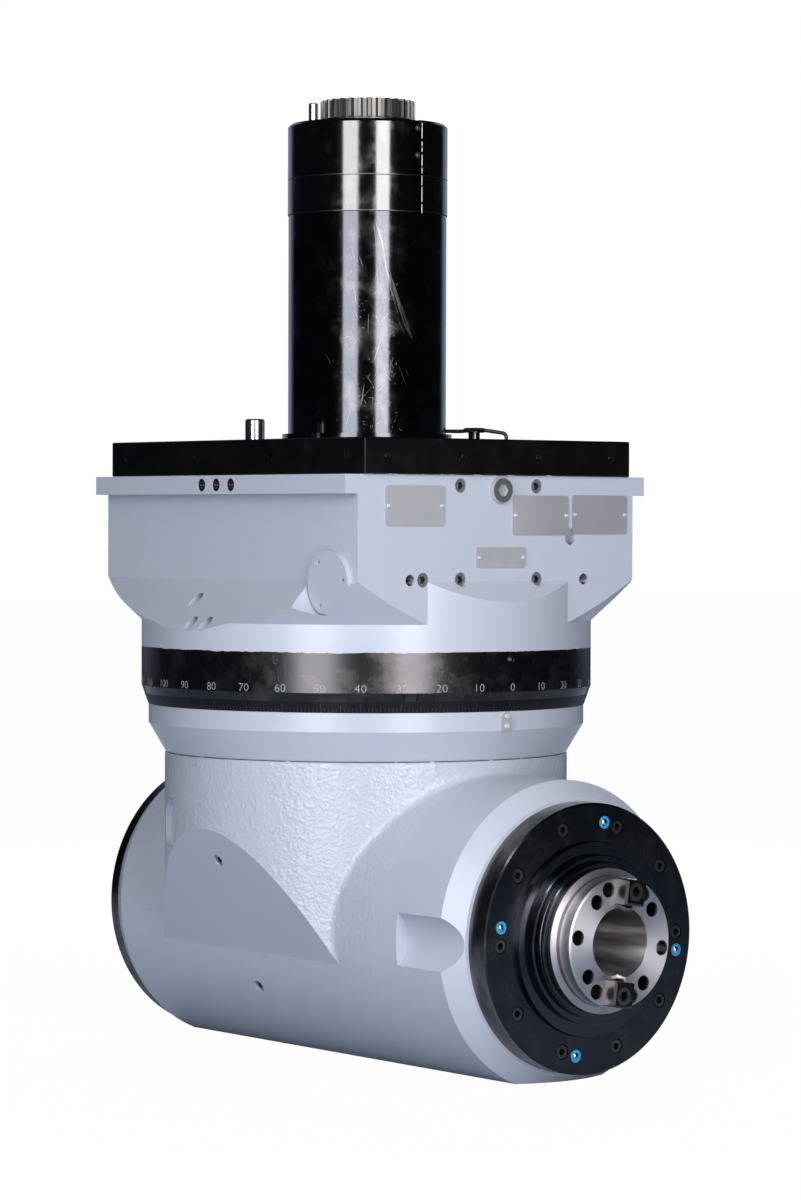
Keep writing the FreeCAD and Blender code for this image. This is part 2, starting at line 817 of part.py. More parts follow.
def make_connector():
    post = cylinder(post_radius, post_depth + post_rise, V(pin_x, 0, -post_depth), UP)
    cap = cylinder(post_cap_radius, post_cap_height, V(pin_x, 0, post_rise), UP)
    cap = cap.makeChamfer(1.0, [cap.Edges[0]])
    parts["connector_post"] = post.fuse(cap).removeSplitter()
    root, direction = gland_frame()
    gland = cylinder(gland_radius, gland_length, root - direction, direction)
    sleeve_cut = cylinder(sleeve_radius, gland_z * 3, V(0, 0, -gland_z), UP)
    gland = gland.cut(sleeve_cut).cut(cylinder(cable_radius, gland_length * 2, root, direction))
    grommet = cylinder(grommet_radius, grommet_depth, V(grommet_x, grommet_y, -grommet_depth), UP)
    collar = cylinder(grommet_radius + grommet_lip, grommet_rise, V(grommet_x, grommet_y, 0), UP)
    bore = cylinder(cable_radius, grommet_depth + grommet_rise, V(grommet_x, grommet_y, -grommet_depth), UP)
    grommet = grommet.fuse(collar).removeSplitter().cut(bore)
    parts["cable_grommets"] = Part.makeCompound([gland, grommet])
    across = V(grommet_x - root.x, grommet_y - root.y, 0)
    sideways = UP.cross(across)
    sideways.normalize()
    points = [root + direction * (gland_length * gland_lead_share)]
    points.append(root + direction * (across.Length * cable_lead_share))
    for share, offset, height in cable_route:
        place = root + across * share + sideways * offset
        points.append(V(place.x, place.y, height))
    points.append(V(grommet_x, grommet_y, grommet_rise / 2))
    parts["signal_cable"] = bent_tube(points, cable_radius)


def bent_tube(points, radius):
    """Tube of straight runs joined by tangent arcs as large as the runs allow."""
    edges = []
    start = points[0]
    for before, corner, after in zip(points, points[1:], points[2:]):
        run_in = before - corner
        run_out = after - corner
        reach = 0.45 * min(run_in.Length, run_out.Length)
        run_in.normalize()
        run_out.normalize()
        turn = math.pi - run_in.getAngle(run_out)
        bend = reach / math.tan(turn / 2)
        enter = corner + run_in * reach
        leave = corner + run_out * reach
        inward = run_in + run_out
        inward.normalize()
        middle = corner + inward * (bend / math.cos(turn / 2) - bend)
        edges.append(Part.LineSegment(start, enter).toShape())
        edges.append(Part.Arc(enter, middle, leave).toShape())
        start = leave
    edges.append(Part.LineSegment(start, points[-1]).toShape())
    path = Part.Wire(edges)
    along = points[1] - points[0]
    along.normalize()
    section = Part.Wire([Part.Circle(points[0], along, radius).toShape()])
    return path.makePipeShell([section], True, False)


# Upper housing: block with lips, cone-cut corners and a round neck with sloping shoulders

def side_slope_prism():
    """Space under the sloping shoulders of the two long sides."""
    reach = neck_radius - half_width
    drop = shoulder_z - reach * side_shoulder_slope
    outline = [
        V(-neck_radius, -half_length * 2, ring_bottom_z), V(neck_radius, -half_length * 2, ring_bottom_z),
        V(neck_radius, -half_length * 2, drop), V(half_width, -half_length * 2, shoulder_z),
        V(half_width, -half_length * 2, housing_top_z), V(-half_width, -half_length * 2, housing_top_z),
        V(-half_width, -half_length * 2, shoulder_z), V(-neck_radius, -half_length * 2, drop),
    ]
    return polygon_face(outline).extrude(V(0, half_length * 4, 0))


def front_slope_prism():
    """Space under the sloping shoulders of the front and the back."""
    reach = neck_radius - half_length
    drop = shoulder_z - reach * front_shoulder_slope
    outline = [
        V(-neck_radius, -neck_radius, ring_bottom_z), V(-neck_radius, neck_radius, ring_bottom_z),
        V(-neck_radius, neck_radius, drop), V(-neck_radius, half_length, shoulder_z),
        V(-neck_radius, -half_length, shoulder_z), V(-neck_radius, -neck_radius, drop),
    ]
    return polygon_face(outline).extrude(V(neck_radius * 2, 0, 0))


def corner_cone():
    """Round envelope that cuts the four corners below the shoulders."""
    top_radius = math.hypot(half_width, half_length) + 10
    cone_top_z = neck_top_z + (top_radius - neck_radius) * corner_cone_slope
    return turned_z([
        (0, ring_top_z), (neck_radius, ring_top_z), (neck_radius, neck_top_z),
        (top_radius, cone_top_z), (top_radius, housing_top_z), (0, housing_top_z),
    ])


def side_x(y, z):
    """Distance from the middle to the outside of the long side at a height."""
    if z > shoulder_z:
        return half_width
    return half_width + (shoulder_z - z) / side_shoulder_slope


def cover_axis(sign, x):
    return V(sign * x, cover_y, cover_z)


def cover_screw_places(sign):
    places = []
    for degrees in cover_screw_angles:
        angle = math.radians(degrees)
        offset = V(0, math.cos(angle), math.sin(angle)) * cover_screw_circle
        places.append(cover_axis(sign, half_width + cover_thickness) + offset)
    return places


def oblique_direction():
    return V(0, math.cos(math.radians(40)), -math.sin(math.radians(40)))


def make_upper_housing():
    envelope = corner_cone()
    core = block(-neck_radius, neck_radius, -half_length, half_length, ring_top_z, housing_top_z)
    body = core.common(envelope).common(side_slope_prism())
    neck = cylinder(neck_radius, shoulder_z - ring_top_z, V(0, 0, ring_top_z), UP)
    neck = neck.common(front_slope_prism()).common(side_slope_prism())
    lips = block(-half_lip, half_lip, -half_length, half_length, lip_bottom_z, housing_top_z)
    seat = cylinder(ring_seat_radius, ring_top_z - ring_bottom_z, V(0, 0, ring_bottom_z), UP)
    housing = joined([body, neck, lips, seat])
    total = housing_top_z - ring_bottom_z
    cutters = [
        cylinder(housing_bore_radius, total, V(0, 0, ring_bottom_z), UP),
        cylinder(housing_cavity_radius, housing_cavity_top_z - housing_cavity_bottom_z,
                 V(0, 0, housing_cavity_bottom_z), UP),
        cylinder(bearing_recess_radius, bearing_recess_depth, V(0, 0, ring_bottom_z), UP),
        cylinder(inner_ring_outside + inner_ring_room, bearing_recess_depth + recess_overlap,
                 V(0, 0, ring_bottom_z), UP),
    ]
    pocket_reach = neck_radius - half_width + 10
    for sign in (-1, 1):
        wide = cover_pocket_radius + cover_pocket_draft * pocket_reach
        cutters.append(Part.makeCone(cover_pocket_radius, wide, pocket_reach,
                                     cover_axis(sign, half_width), V(sign, 0, 0)))
        for place in cover_screw_places(sign):
            cutters.append(cylinder(cover_screw_radius, cover_screw_depth + cover_thickness, place,
                                    V(-sign, 0, 0)))
        for y in lip_plug_ys:
            cutters.append(cylinder(lip_plug_radius, lip_plug_depth, V(sign * half_lip, y, lip_plug_z),
                                    V(-sign, 0, 0)))
        for y, z in shoulder_hole_places:
            outside = side_x(y, z - shoulder_hole_radius * 2)
            cutters.append(cylinder(shoulder_hole_radius, shoulder_hole_reach,
                                    V(sign * outside, y, z), V(-sign, 0, 0)))
    for x, z in plug_places:
        cutters.append(cylinder(plug_radius, plug_depth, V(x, -half_length, z), BACK))
        cutters.append(cylinder(plug_radius, neck_radius - half_length + overrun,
                                V(x, -half_length, z), FRONT))
    for x, z in open_hole_places:
        cutters.append(cylinder(open_hole_radius, open_hole_depth, V(x, -half_length, z), BACK))
    cutters.append(cylinder(oil_plug_radius, oil_plug_depth, V(oil_plug_x, -half_length, oil_plug_z), BACK))
    start = V(oblique_x, -half_length, oblique_top_z) - oblique_direction() * 10
    cutters.append(cylinder(oblique_radius, oblique_length + oblique_overrun, start, oblique_direction()))
    for place in plate_bolt_places():
        place = V(place.x, place.y, housing_top_z)
        cutters.append(cylinder(plate_bolt_radius, plate_bolt_depth, place, DOWN))
    for place, direction in scale_screw_frames():
        cutters.append(cylinder(ring_screw_radius * shank_share, ring_screw_depth,
                                place - direction * ring_screw_depth, direction))
    for place in rivet_places():
        cutters.append(cylinder(rivet_radius, rivet_depth, place, BACK))
    parts["upper_housing"] = without(housing, cutters)


def make_housing_trim():
    covers = []
    screws = []
    for sign in (-1, 1):
        outward = V(sign, 0, 0)
        cover = cylinder(cover_radius, cover_thickness, cover_axis(sign, half_width), outward)
        cover = cover.common(corner_cone())
        holes = [cylinder(cover_screw_radius, cover_thickness, place, outward * -1)
                 for place in cover_screw_places(sign)]
        covers.append(without(cover, holes))
        for place in cover_screw_places(sign):
            screws.append(set_screw(cover_screw_radius, cover_screw_depth + cover_thickness - screw_sunk,
                                    place - outward * screw_sunk, outward))
    parts["side_covers"] = Part.makeCompound(covers)
    parts["side_cover_screws"] = Part.makeCompound(screws)
    plugs = [set_screw(plug_radius, plug_depth - plug_inset, V(x, -half_length + plug_inset, z), FRONT)
             for x, z in plug_places]
    plugs += [set_screw(lip_plug_radius, lip_plug_depth - plug_sunk,
                        V(sign * (half_lip - plug_sunk), y, lip_plug_z),
                        V(sign, 0, 0))
              for sign in (-1, 1) for y in lip_plug_ys]
    parts["housing_plugs"] = Part.makeCompound(plugs)
    oil_centre = V(oil_plug_x, -half_length, oil_plug_z)
    oil_plug = cap_screw(oil_plug_radius, oil_plug_depth, oil_plug_radius, oil_plug_head + oil_ring_height,
                         oil_centre, FRONT)
    parts["oil_plug"] = oil_plug.removeSplitter()
    parts["oil_plug_ring"] = tube(oil_ring_radius, oil_plug_radius, oil_ring_height, oil_centre, FRONT)
    deep = V(oblique_x, -half_length, oblique_top_z) + oblique_direction() * oblique_length
    plugs = [cylinder(oblique_radius, oblique_plug_length, deep, oblique_direction() * -1)]
    for sign in (-1, 1):
        for y, z in shoulder_hole_places:
            outside = side_x(y, z - shoulder_hole_radius * 2)
            inner_end = V(sign * (outside - shoulder_hole_reach), y, z)
            plugs.append(cylinder(shoulder_hole_radius, shoulder_plug_length, inner_end, V(sign, 0, 0)))
    parts["sunk_plugs"] = Part.makeCompound(plugs)


def rivet_places():
    places = []
    for x0, x1, z0, z1 in sign_boxes:
        for x in (x0 + rivet_inset, x1 - rivet_inset):
            places.append(V(x, -half_length, (z0 + z1) / 2))
    return places


def make_signs():
    signs = []
    for x0, x1, z0, z1 in sign_boxes:
        sign = block(x0, x1, -half_length - sign_thickness, -half_length, z0, z1)
        upright = [edge for edge in sign.Edges if abs(edge.Length - sign_thickness) < 1e-6]
        sign = sign.makeFillet(sign_round, upright)
        holes = [cylinder(rivet_radius, sign_thickness, place, FRONT) for place in rivet_places()]
        signs.append(without(sign, holes))
    parts["name_plates"] = Part.makeCompound(signs)
    parts["plate_rivets"] = Part.makeCompound([
        cylinder(rivet_radius, rivet_depth + sign_thickness + rivet_height,
                 place + BACK * rivet_depth, FRONT)
        for place in rivet_places()])


# Scale ring and swivel bearing

def scale_screw_frames():
    frames = []
    for index in range(ring_screw_count):
        angle = index * 360.0 / ring_screw_count
        outward = on_swivel(1, angle, 0)
        frames.append((on_swivel(neck_radius, angle, ring_screw_z), outward))
    return frames


def make_scale_ring():
    ring = turned_z([
        (ring_seat_radius, ring_top_z), (neck_radius, ring_top_z), (neck_radius, ring_chamfer_z),
        (ring_chamfer_radius, ring_bottom_z), (ring_seat_radius, ring_bottom_z),
    ])
    head_depth = (neck_radius - ring_seat_radius) * 0.6
    holes = []
    screws = []
    for place, outward in scale_screw_frames():
        holes.append(cylinder(ring_screw_radius, head_depth, place - outward * head_depth, outward))
        holes.append(cylinder(ring_screw_radius * shank_share, ring_screw_depth,
                              place - outward * ring_screw_depth, outward))
        screws.append(cap_screw(ring_screw_radius * shank_share, ring_screw_depth - head_depth,
                                ring_screw_radius, head_depth - head_sunk,
                                place - outward * head_depth, outward))
    parts["scale_ring"] = without(ring, holes)
    parts["scale_ring_screws"] = Part.makeCompound(screws)


def make_swivel_bearing():
    base = V(0, 0, swivel_bearing_bottom_z)
    height = swivel_bearing_height
    parts["swivel_bearing_outer"] = tube(bearing_recess_radius, outer_ring_inside, height, base, UP)
    inner = [tube(inner_ring_outside, inner_ring_inside, height, base, UP)]
    for index in range(swivel_roller_count):
        angle = index * 360.0 / swivel_roller_count
        place = on_swivel(swivel_roller_circle, angle, swivel_bearing_bottom_z + roller_play)
        inner.append(cylinder(swivel_roller_radius, height - 2 * roller_play, place, UP))
    parts["swivel_bearing_inner"] = Part.makeCompound(inner)


# Swivelling flange, pointer

def make_swivel_flange():
    spigot_inside = inner_ring_inside - swivel_spigot_wall
    flange = turned_z([
        (spigot_inside, flange_bottom_z), (casting_neck_radius - joint_groove, flange_bottom_z),
        (casting_neck_radius, flange_bottom_z + joint_groove),
        (band_radius, band_bottom_z), (band_radius, swivel_top_z),
        (inner_ring_outside, swivel_top_z), (inner_ring_outside, swivel_bearing_bottom_z),
        (inner_ring_inside, swivel_bearing_bottom_z), (inner_ring_inside, swivel_ring_top_z - ring_gap),
        (spigot_inside, swivel_ring_top_z - ring_gap),
    ])
    screw_holes = [cylinder(pointer_screw_radius * shank_share, pointer_screw_depth, place, BACK)
                   for place in pointer_screw_places(0)]
    parts["swivel_flange"] = without(flange, screw_holes)


def pointer_screw_places(lift):
    middle = (swivel_top_z + band_bottom_z) / 2
    step = pointer_height * 0.26
    return [V(0, -band_radius - lift, middle + sign * step) for sign in (-1, 1)]


def make_pointer():
    half = pointer_width / 2
    top = swivel_top_z - 0.2
    bottom = top - pointer_height
    front = -band_radius - pointer_thickness
    slab = block(-half, half, front, -band_radius + pointer_backing, bottom, top)
    tip = polygon_face([V(-half, front, top), V(0, front, top), V(-half, front, top - half)])
    other = polygon_face([V(half, front, top), V(0, front, top), V(half, front, top - half)])
    depth = V(0, pointer_thickness + pointer_backing, 0)
    slab = without(slab, [tip.extrude(depth), other.extrude(depth)])
    slab = slab.cut(cylinder(band_radius, pointer_height + 2 * overrun, V(0, 0, bottom - overrun), UP))
    shank_radius = pointer_screw_radius * shank_share
    holes = [cylinder(shank_radius, pointer_thickness + pointer_screw_depth, place, BACK)
             for place in pointer_screw_places(pointer_thickness)]
    parts["pointer"] = without(slab, holes)
    screws = []
    for place in pointer_screw_places(pointer_thickness):
        head = cylinder(pointer_screw_radius, pointer_screw_height, place, FRONT)
        shank = cylinder(shank_radius, pointer_thickness + pointer_screw_depth - overrun, place, BACK)
        screws.append(head.fuse(shank).removeSplitter())
    parts["pointer_screws"] = Part.makeCompound(screws)


# Lower housing casting

def slanted_half_width(z):
    """Half width between the slanted sides of the casting at a height."""
    tilt = math.radians(side_plane_tilt)
    return (side_plane_distance + (z - spindle_z) * math.sin(tilt)) / math.cos(tilt)


def outside_of_neck():
    """Space beyond the slanted sides and under the barrel, clear of the barrel itself."""
    top_z = flange_bottom_z + 1
    keep_z = spindle_z - neck_overlap
    low_z = spindle_z - neck_depth - 1
    reach = casting_neck_radius * 1.3
    top_x = slanted_half_width(top_z)
    keep_x = slanted_half_width(keep_z)
    kept = polygon_face([V(-top_x, -reach, top_z), V(top_x, -reach, top_z),
                         V(keep_x, -reach, keep_z), V(-keep_x, -reach, keep_z)])
    kept = kept.extrude(V(0, reach * 2, 0))
    return block(-reach, reach, -reach, reach, low_z, top_z).cut(kept).cut(barrel_solid())


def barrel_solid():
    return turned_y([
        (0, flange_back_y), (barrel_radius - front_chamfer_drop, flange_back_y),
        (barrel_radius, barrel_front_y), (barrel_radius, barrel_back_y - back_chamfer_length),
        (barrel_radius - back_chamfer_drop, barrel_back_y), (0, barrel_back_y),
    ])


def side_plug_frames():
    """Points on the slanted sides and on the barrel with their outward directions."""
    frames = []
    tilt = math.radians(side_plane_tilt)
    low = math.radians(side_plug_low_angle)
    y, z = side_plug_high
    x = slanted_half_width(z)
    for sign in (-1, 1):
        frames.append((V(sign * x, y, z), V(sign * math.cos(tilt), 0, -math.sin(tilt))))
        outward = V(sign * math.cos(low), 0, -math.sin(low))
        frames.append((outward * barrel_radius + V(0, side_plug_low_y, spindle_z), outward))
    return frames


def make_lower_housing():
    neck = turned_z([
        (0, spindle_z - neck_depth), (casting_neck_radius, spindle_z - neck_depth),
        (casting_neck_radius, flange_bottom_z - joint_groove),
        (casting_neck_radius - joint_groove, flange_bottom_z), (0, flange_bottom_z),
    ])
    casting = rounded_crease(joined([neck, barrel_solid()]))
    casting = casting.cut(outside_of_neck())
    wide = barrel_radius * 2
    floor_cut = block(-wide, wide, flange_back_y - overrun, barrel_back_y + overrun, base_z - wide, base_z)
    cutters = [floor_cut]
    cutters.append(cylinder(shaft_bore_radius, flange_bottom_z - spindle_z, V(0, 0, spindle_z), UP))
    cavity_length = gear_cavity_back_y - gear_cavity_front_y
    cutters.append(cylinder(gear_cavity_radius, cavity_length, V(0, gear_cavity_front_y, spindle_z), BACK))
    cutters.append(cylinder(gear_cavity_radius - shaft_well_inset, gear_cavity_radius + shaft_well_rise,
                            V(0, 0, spindle_z), UP))
    front_length = gear_cavity_front_y - flange_back_y
    cutters.append(cylinder(bearing_seat_radius + front_recess_step, front_length,
                            V(0, flange_back_y, spindle_z), BACK))
    cutters.append(cylinder(front_outer_radius, front_bearing_back_y - flange_back_y,
                            V(0, flange_back_y, spindle_z), BACK))
    rear_length = barrel_back_y - gear_cavity_back_y
    cutters.append(cylinder(rear_inner_radius + rear_bore_step, rear_length,
                            V(0, gear_cavity_back_y, spindle_z), BACK))
    cutters.append(cylinder(rear_outer_radius, barrel_back_y - rear_bearing_y,
                            V(0, rear_bearing_y, spindle_z), BACK))
    for sign in (-1, 1):
        axis_x = barrel_radius - scallop_depth + scallop_radius
        cutters.append(cylinder(scallop_radius, scallop_back_y - flange_back_y + overrun,
                                V(sign * axis_x, flange_back_y - overrun, spindle_z), BACK))
        outward = on_swivel(1, sign * spot_angle, 0)
        cutters.append(cylinder(spot_radius, spot_depth + overrun,
                                outward * (casting_neck_radius - spot_depth) + V(0, 0, spot_z), outward))
    for place, outward in side_plug_frames():
        cutters.append(cylinder(side_plug_radius, side_plug_depth + side_plug_overrun,
                                place - outward * side_plug_depth,
                                outward))
    for degrees in flange_screw_angles():
        cutters.append(cylinder(flange_screw_radius, 20, on_spindle(flange_screw_circle, degrees,
                                                                    flange_back_y), BACK))
    for degrees in rear_bolt_angles():
        cutters.append(cylinder(rear_cover_bolt_radius, 20, on_spindle(rear_cover_bolt_circle, degrees,
                                                                       barrel_back_y), FRONT))
    parts["lower_housing"] = without(casting, cutters)
    parts["side_plugs"] = Part.makeCompound([
        set_screw(side_plug_radius, side_plug_depth - 2, place - outward * 2, outward)
        for place, outward in side_plug_frames()])


def rounded_crease(casting):
    """Fillets the cast inside corner where the neck meets the barrel."""
    edges = []
    for edge in casting.Edges:
        middle = edge.valueAt((edge.FirstParameter + edge.LastParameter) / 2)
        radial = math.hypot(middle.x, middle.z - spindle_z)
        on_barrel = abs(radial - barrel_radius) < 0.5
        on_neck = abs(math.hypot(middle.x, middle.y) - casting_neck_radius) < 0.5
        if on_barrel and on_neck:
            edges.append(edge)
    return casting.makeFillet(casting_fillet, edges)


# Rear cover, front flange, hub and nozzles

def rear_bolt_angles():
    return [(index + 0.5) * 360.0 / rear_cover_bolt_count for index in range(rear_cover_bolt_count)]


def flange_screw_angles():
    return [index * 360.0 / flange_screw_count for index in range(flange_screw_count)]


def nozzle_angles():
    return [nozzle_angle + index * 360.0 / nozzle_count for index in range(nozzle_count)]


def flat_under(shape):
    """Cut level with the casting's flat base."""
    wide = barrel_radius * 2
    return shape.cut(block(-wide, wide, -barrel_radius * 4, barrel_radius * 4, base_z - wide, base_z))


def make_rear_cover():
    back = barrel_back_y + rear_cover_thickness
    cover = turned_y([
        (0, barrel_back_y), (rear_cover_radius, barrel_back_y),
        (rear_cover_radius, back - rear_cover_chamfer), (rear_cover_radius - rear_cover_chamfer, back),
        (0, back),
    ])
    cutters = []
    bolts = []
    for degrees in rear_bolt_angles():
        seat = on_spindle(rear_cover_bolt_circle, degrees, back - rear_cover_head_height)
        cutters.append(cylinder(rear_cover_bolt_radius, rear_cover_thickness, seat, FRONT))
        cutters.append(cylinder(rear_cover_head_radius + head_play, rear_cover_head_height, seat, BACK))
        bolts.append(cap_screw(rear_cover_bolt_radius, 24, rear_cover_head_radius,
                               rear_cover_head_height - screw_sunk, seat, BACK))
    parts["rear_cover"] = without(flat_under(cover), cutters)
    parts["rear_cover_bolts"] = Part.makeCompound(bolts)


def make_front_flange():
    flange = turned_y([
        (hub_inner_step, flange_back_y), (flange_radius, flange_back_y),
        (flange_radius, flange_front_y + flange_edge_chamfer),
        (flange_radius - flange_edge_chamfer, flange_front_y), (hub_inner_step, flange_front_y),
    ])
    cutters = []
    screws = []
    for degrees in flange_screw_angles():
        seat = on_spindle(flange_screw_circle, degrees, flange_front_y + flange_screw_head_height)
        cutters.append(cylinder(flange_screw_radius, flange_thickness, seat, BACK))
        cutters.append(cylinder(flange_screw_head_radius + flange_screw_pocket_gap, flange_screw_head_height,
                                seat, FRONT))
        screws.append(cap_screw(flange_screw_radius, 30, flange_screw_head_radius,
                                flange_screw_head_height - screw_sunk, seat, FRONT))
    for degrees in nozzle_angles():
        place = on_spindle(nozzle_circle, degrees, flange_front_y)
        cutters.append(cylinder(nozzle_ring_radius, nozzle_pocket_depth, place, BACK))
    parts["front_flange"] = without(flange, cutters)
    parts["front_flange_screws"] = Part.makeCompound(screws)


def make_hub():
    inside = spindle_seal_radius + running_gap
    step_y = boss_front_y - hub_step_height
    groove_y = (step_y + hub_front_y) / 2
    hub = turned_y([
        (inside, flange_back_y), (hub_inner_step, flange_back_y), (hub_inner_step, flange_front_y),
        (boss_radius, flange_front_y), (boss_radius - hub_chamfer, boss_front_y), (hub_radius, boss_front_y),
        (hub_radius, step_y + hub_chamfer), (hub_radius - hub_chamfer, step_y), (hub_tip_radius, step_y),
        (hub_tip_radius, groove_y + hub_groove / 2), (hub_tip_radius - hub_groove, groove_y),
        (hub_tip_radius, groove_y - hub_groove / 2), (hub_tip_radius, hub_front_y + 1),
        (hub_tip_radius - hub_chamfer, hub_front_y), (inside, hub_front_y),
    ])
    cutters = []
    screws = []
    for index in range(hub_screw_count):
        degrees = hub_screw_angle + index * 360.0 / hub_screw_count
        outward = on_spindle(1, degrees, 0) - V(0, 0, spindle_z)
        place = on_spindle(hub_radius, degrees, boss_front_y - hub_step_height / 2)
        place = place - outward * hub_screw_depth
        cutters.append(cylinder(hub_screw_radius * shank_share, hub_screw_depth + overrun, place, outward))
        screws.append(cylinder(hub_screw_radius * shank_share, hub_screw_depth - screw_sunk, place, outward))
    parts["seal_hub"] = without(hub, cutters)
    parts["hub_set_screws"] = Part.makeCompound(screws)


def make_nozzles():
    rings = []
    length = nozzle_pocket_depth + nozzle_ring_proud
    for index, degrees in enumerate(nozzle_angles()):
        place = on_spindle(nozzle_circle, degrees, flange_front_y + nozzle_pocket_depth)
        centre = on_spindle(nozzle_circle, degrees, flange_front_y + nozzle_ball_sink)
        ring = cylinder(nozzle_ring_radius, length, place, FRONT)
        feed = cylinder(nozzle_bore_radius * 2.2, length, place, FRONT)
        rings.append(without(ring, [Part.makeSphere(nozzle_ball_radius + ball_gap, centre), feed]))
        ball = Part.makeSphere(nozzle_ball_radius, centre)
        bore = cylinder(nozzle_bore_radius, nozzle_ball_radius * 3,
                        centre - FRONT * nozzle_ball_radius * 1.5,
                        FRONT)
        parts["nozzle_ball_%d" % (index + 1)] = ball.cut(bore)
    parts["nozzle_rings"] = Part.makeCompound(rings)


# Spindle, keys, bearings, drawbar

def taper_radius(y):
    return taper_gauge_radius - (y - nose_y) * taper_per_side


def key_box():
    """Space of the top driving key, before the spindle's rest turn."""
    half = key_width / 2
    return block(-half, half, nose_y - key_proud, nose_y + key_slot_depth,
                 spindle_z + key_inner_radius, spindle_z + nose_radius)


def nose_hole_angles():
    return (45.0, 135.0, 225.0, 315.0)


def deep_hole_angles():
    return (0.0, 65.0, 115.0, 180.0, 245.0, 295.0)


def make_spindle():
    taper_end_y = nose_y + taper_length
    front_seat_back = front_bearing_back_y
    rows = [
        (taper_gauge_radius, nose_y), (nose_radius - nose_chamfer, nose_y),
        (nose_radius, nose_y + nose_chamfer), (nose_radius, collar_front_y),
        (collar_radius, collar_front_y + hub_chamfer), (collar_radius, collar_back_y),
        (spindle_seal_radius, collar_back_y), (spindle_seal_radius, front_bearing_front_y),
        (bearing_seat_radius, front_bearing_front_y), (bearing_seat_radius, front_seat_back),
        (spindle_rear_radius + spindle_step, front_seat_back),
        (spindle_rear_radius + spindle_step, -gear_hub_back),
        (spindle_rear_radius, -gear_hub_back), (spindle_rear_radius, spindle_back_y),
        (drawbar_bore_radius, spindle_back_y), (drawbar_bore_radius, spring_front_y),
        (drawbar_guide_radius, spring_front_y), (drawbar_guide_radius, gripper_room_back_y),
        (drawbar_bore_radius, gripper_room_back_y), (drawbar_bore_radius, taper_end_y),
        (taper_radius(taper_end_y), taper_end_y),
    ]
    spindle = turned_y(rows)
    slot_half = key_width / 2
    slot = block(-slot_half, slot_half, nose_y - overrun, nose_y + key_slot_depth,
                 spindle_z, spindle_z + nose_radius + overrun)
    cutters = [spun(slot, 0), spun(slot, 180)]
    for degrees in nose_hole_angles():
        cutters.append(cylinder(nose_hole_radius, nose_hole_depth,
                                on_spindle(nose_hole_circle, degrees, nose_y), BACK))
    for degrees in deep_hole_angles():
        cutters.append(cylinder(deep_hole_radius, deep_hole_depth,
                                on_spindle(deep_hole_circle, degrees, nose_y), BACK))
    seat = V(0, nose_y + key_slot_depth, spindle_z + key_screw_circle)
    key_hole = cylinder(key_screw_radius, key_screw_length, seat, BACK)
    cutters += [key_hole, spun(key_hole, 180)]
    parts["spindle"] = spun(without(spindle, cutters), -spindle_rest_turn)
    rim = cylinder(nose_radius - key_rim_drop, key_proud + key_slot_depth,
                   V(0, nose_y - key_proud, spindle_z), BACK)
    key = key_box().common(rim)
    front_edges = [edge for edge in key.Edges
                   if edge.BoundBox.YMax < nose_y - key_proud + 0.01]
    key = key.makeChamfer(key_chamfer, front_edges)
    top = V(0, nose_y - key_proud, spindle_z + key_screw_circle)
    head_room = cylinder(key_screw_head_radius + head_play, key_screw_head_height, top, BACK)
    through = cylinder(key_screw_radius, key_proud + key_slot_depth, top, BACK)
    key = without(key, [head_room, through])
    parts["spindle_keys"] = Part.makeCompound([spun(key, -spindle_rest_turn),
                                               spun(key, 180 - spindle_rest_turn)])
    length = key_proud + key_slot_depth - key_screw_head_height + key_screw_length - 1
    screw = cap_screw(key_screw_radius, length, key_screw_head_radius, key_screw_head_height - head_sunk,
                      top + BACK * key_screw_head_height, FRONT)
    parts["key_screws"] = Part.makeCompound([spun(screw, -spindle_rest_turn),
                                             spun(screw, 180 - spindle_rest_turn)])


def bearing_pair(inside, inner_out, outer_in, outside, circle, roller, count, front, back):
    """Outer ring, inner ring and rollers of one bearing round the spindle."""
    width = back - front
    base = V(0, front, spindle_z)
    outer = tube(outside, outer_in, width, base, BACK)
    inner = tube(inner_out, inside, width, base, BACK)
    rollers = [cylinder(roller, width - 2 * roller_play,
                        on_spindle(circle, index * 360.0 / count, front + roller_play), BACK)
               for index in range(count)]
    return outer, [inner] + rollers


def make_spindle_bearings():
    outers = []
    inners = []
    for front in (front_bearing_front_y, front_bearing_front_y + front_bearing_width):
        outer, inner = bearing_pair(bearing_seat_radius, front_inner_radius, front_outer_inside,
                                    front_outer_radius, front_roller_circle, roller_radius,
                                    front_roller_count, front, front + front_bearing_width)
        outers.append(outer)
        inners += inner
    outer, inner = bearing_pair(spindle_rear_radius, rear_inner_radius, rear_outer_inside,
                                rear_outer_radius, rear_roller_circle, rear_roller_radius,
                                rear_roller_count, rear_bearing_y, rear_bearing_y + rear_bearing_width)
    parts["spindle_bearing_outers"] = Part.makeCompound(outers + [outer])
    parts["spindle_bearing_inners"] = Part.makeCompound(inners + inner)
    nut_y = rear_bearing_y + rear_bearing_width
    nut = tube(spindle_nut_radius, spindle_rear_radius, spindle_nut_width, V(0, nut_y, spindle_z), BACK)
    notch = block(-nut_notch, nut_notch, nut_y, nut_y + spindle_nut_width,
                  spindle_z + spindle_nut_radius - nut_notch, spindle_z + spindle_nut_radius + overrun)
    notches = [spun(notch, 90 * index) for index in range(4)]
    parts["spindle_nut"] = without(nut, notches)


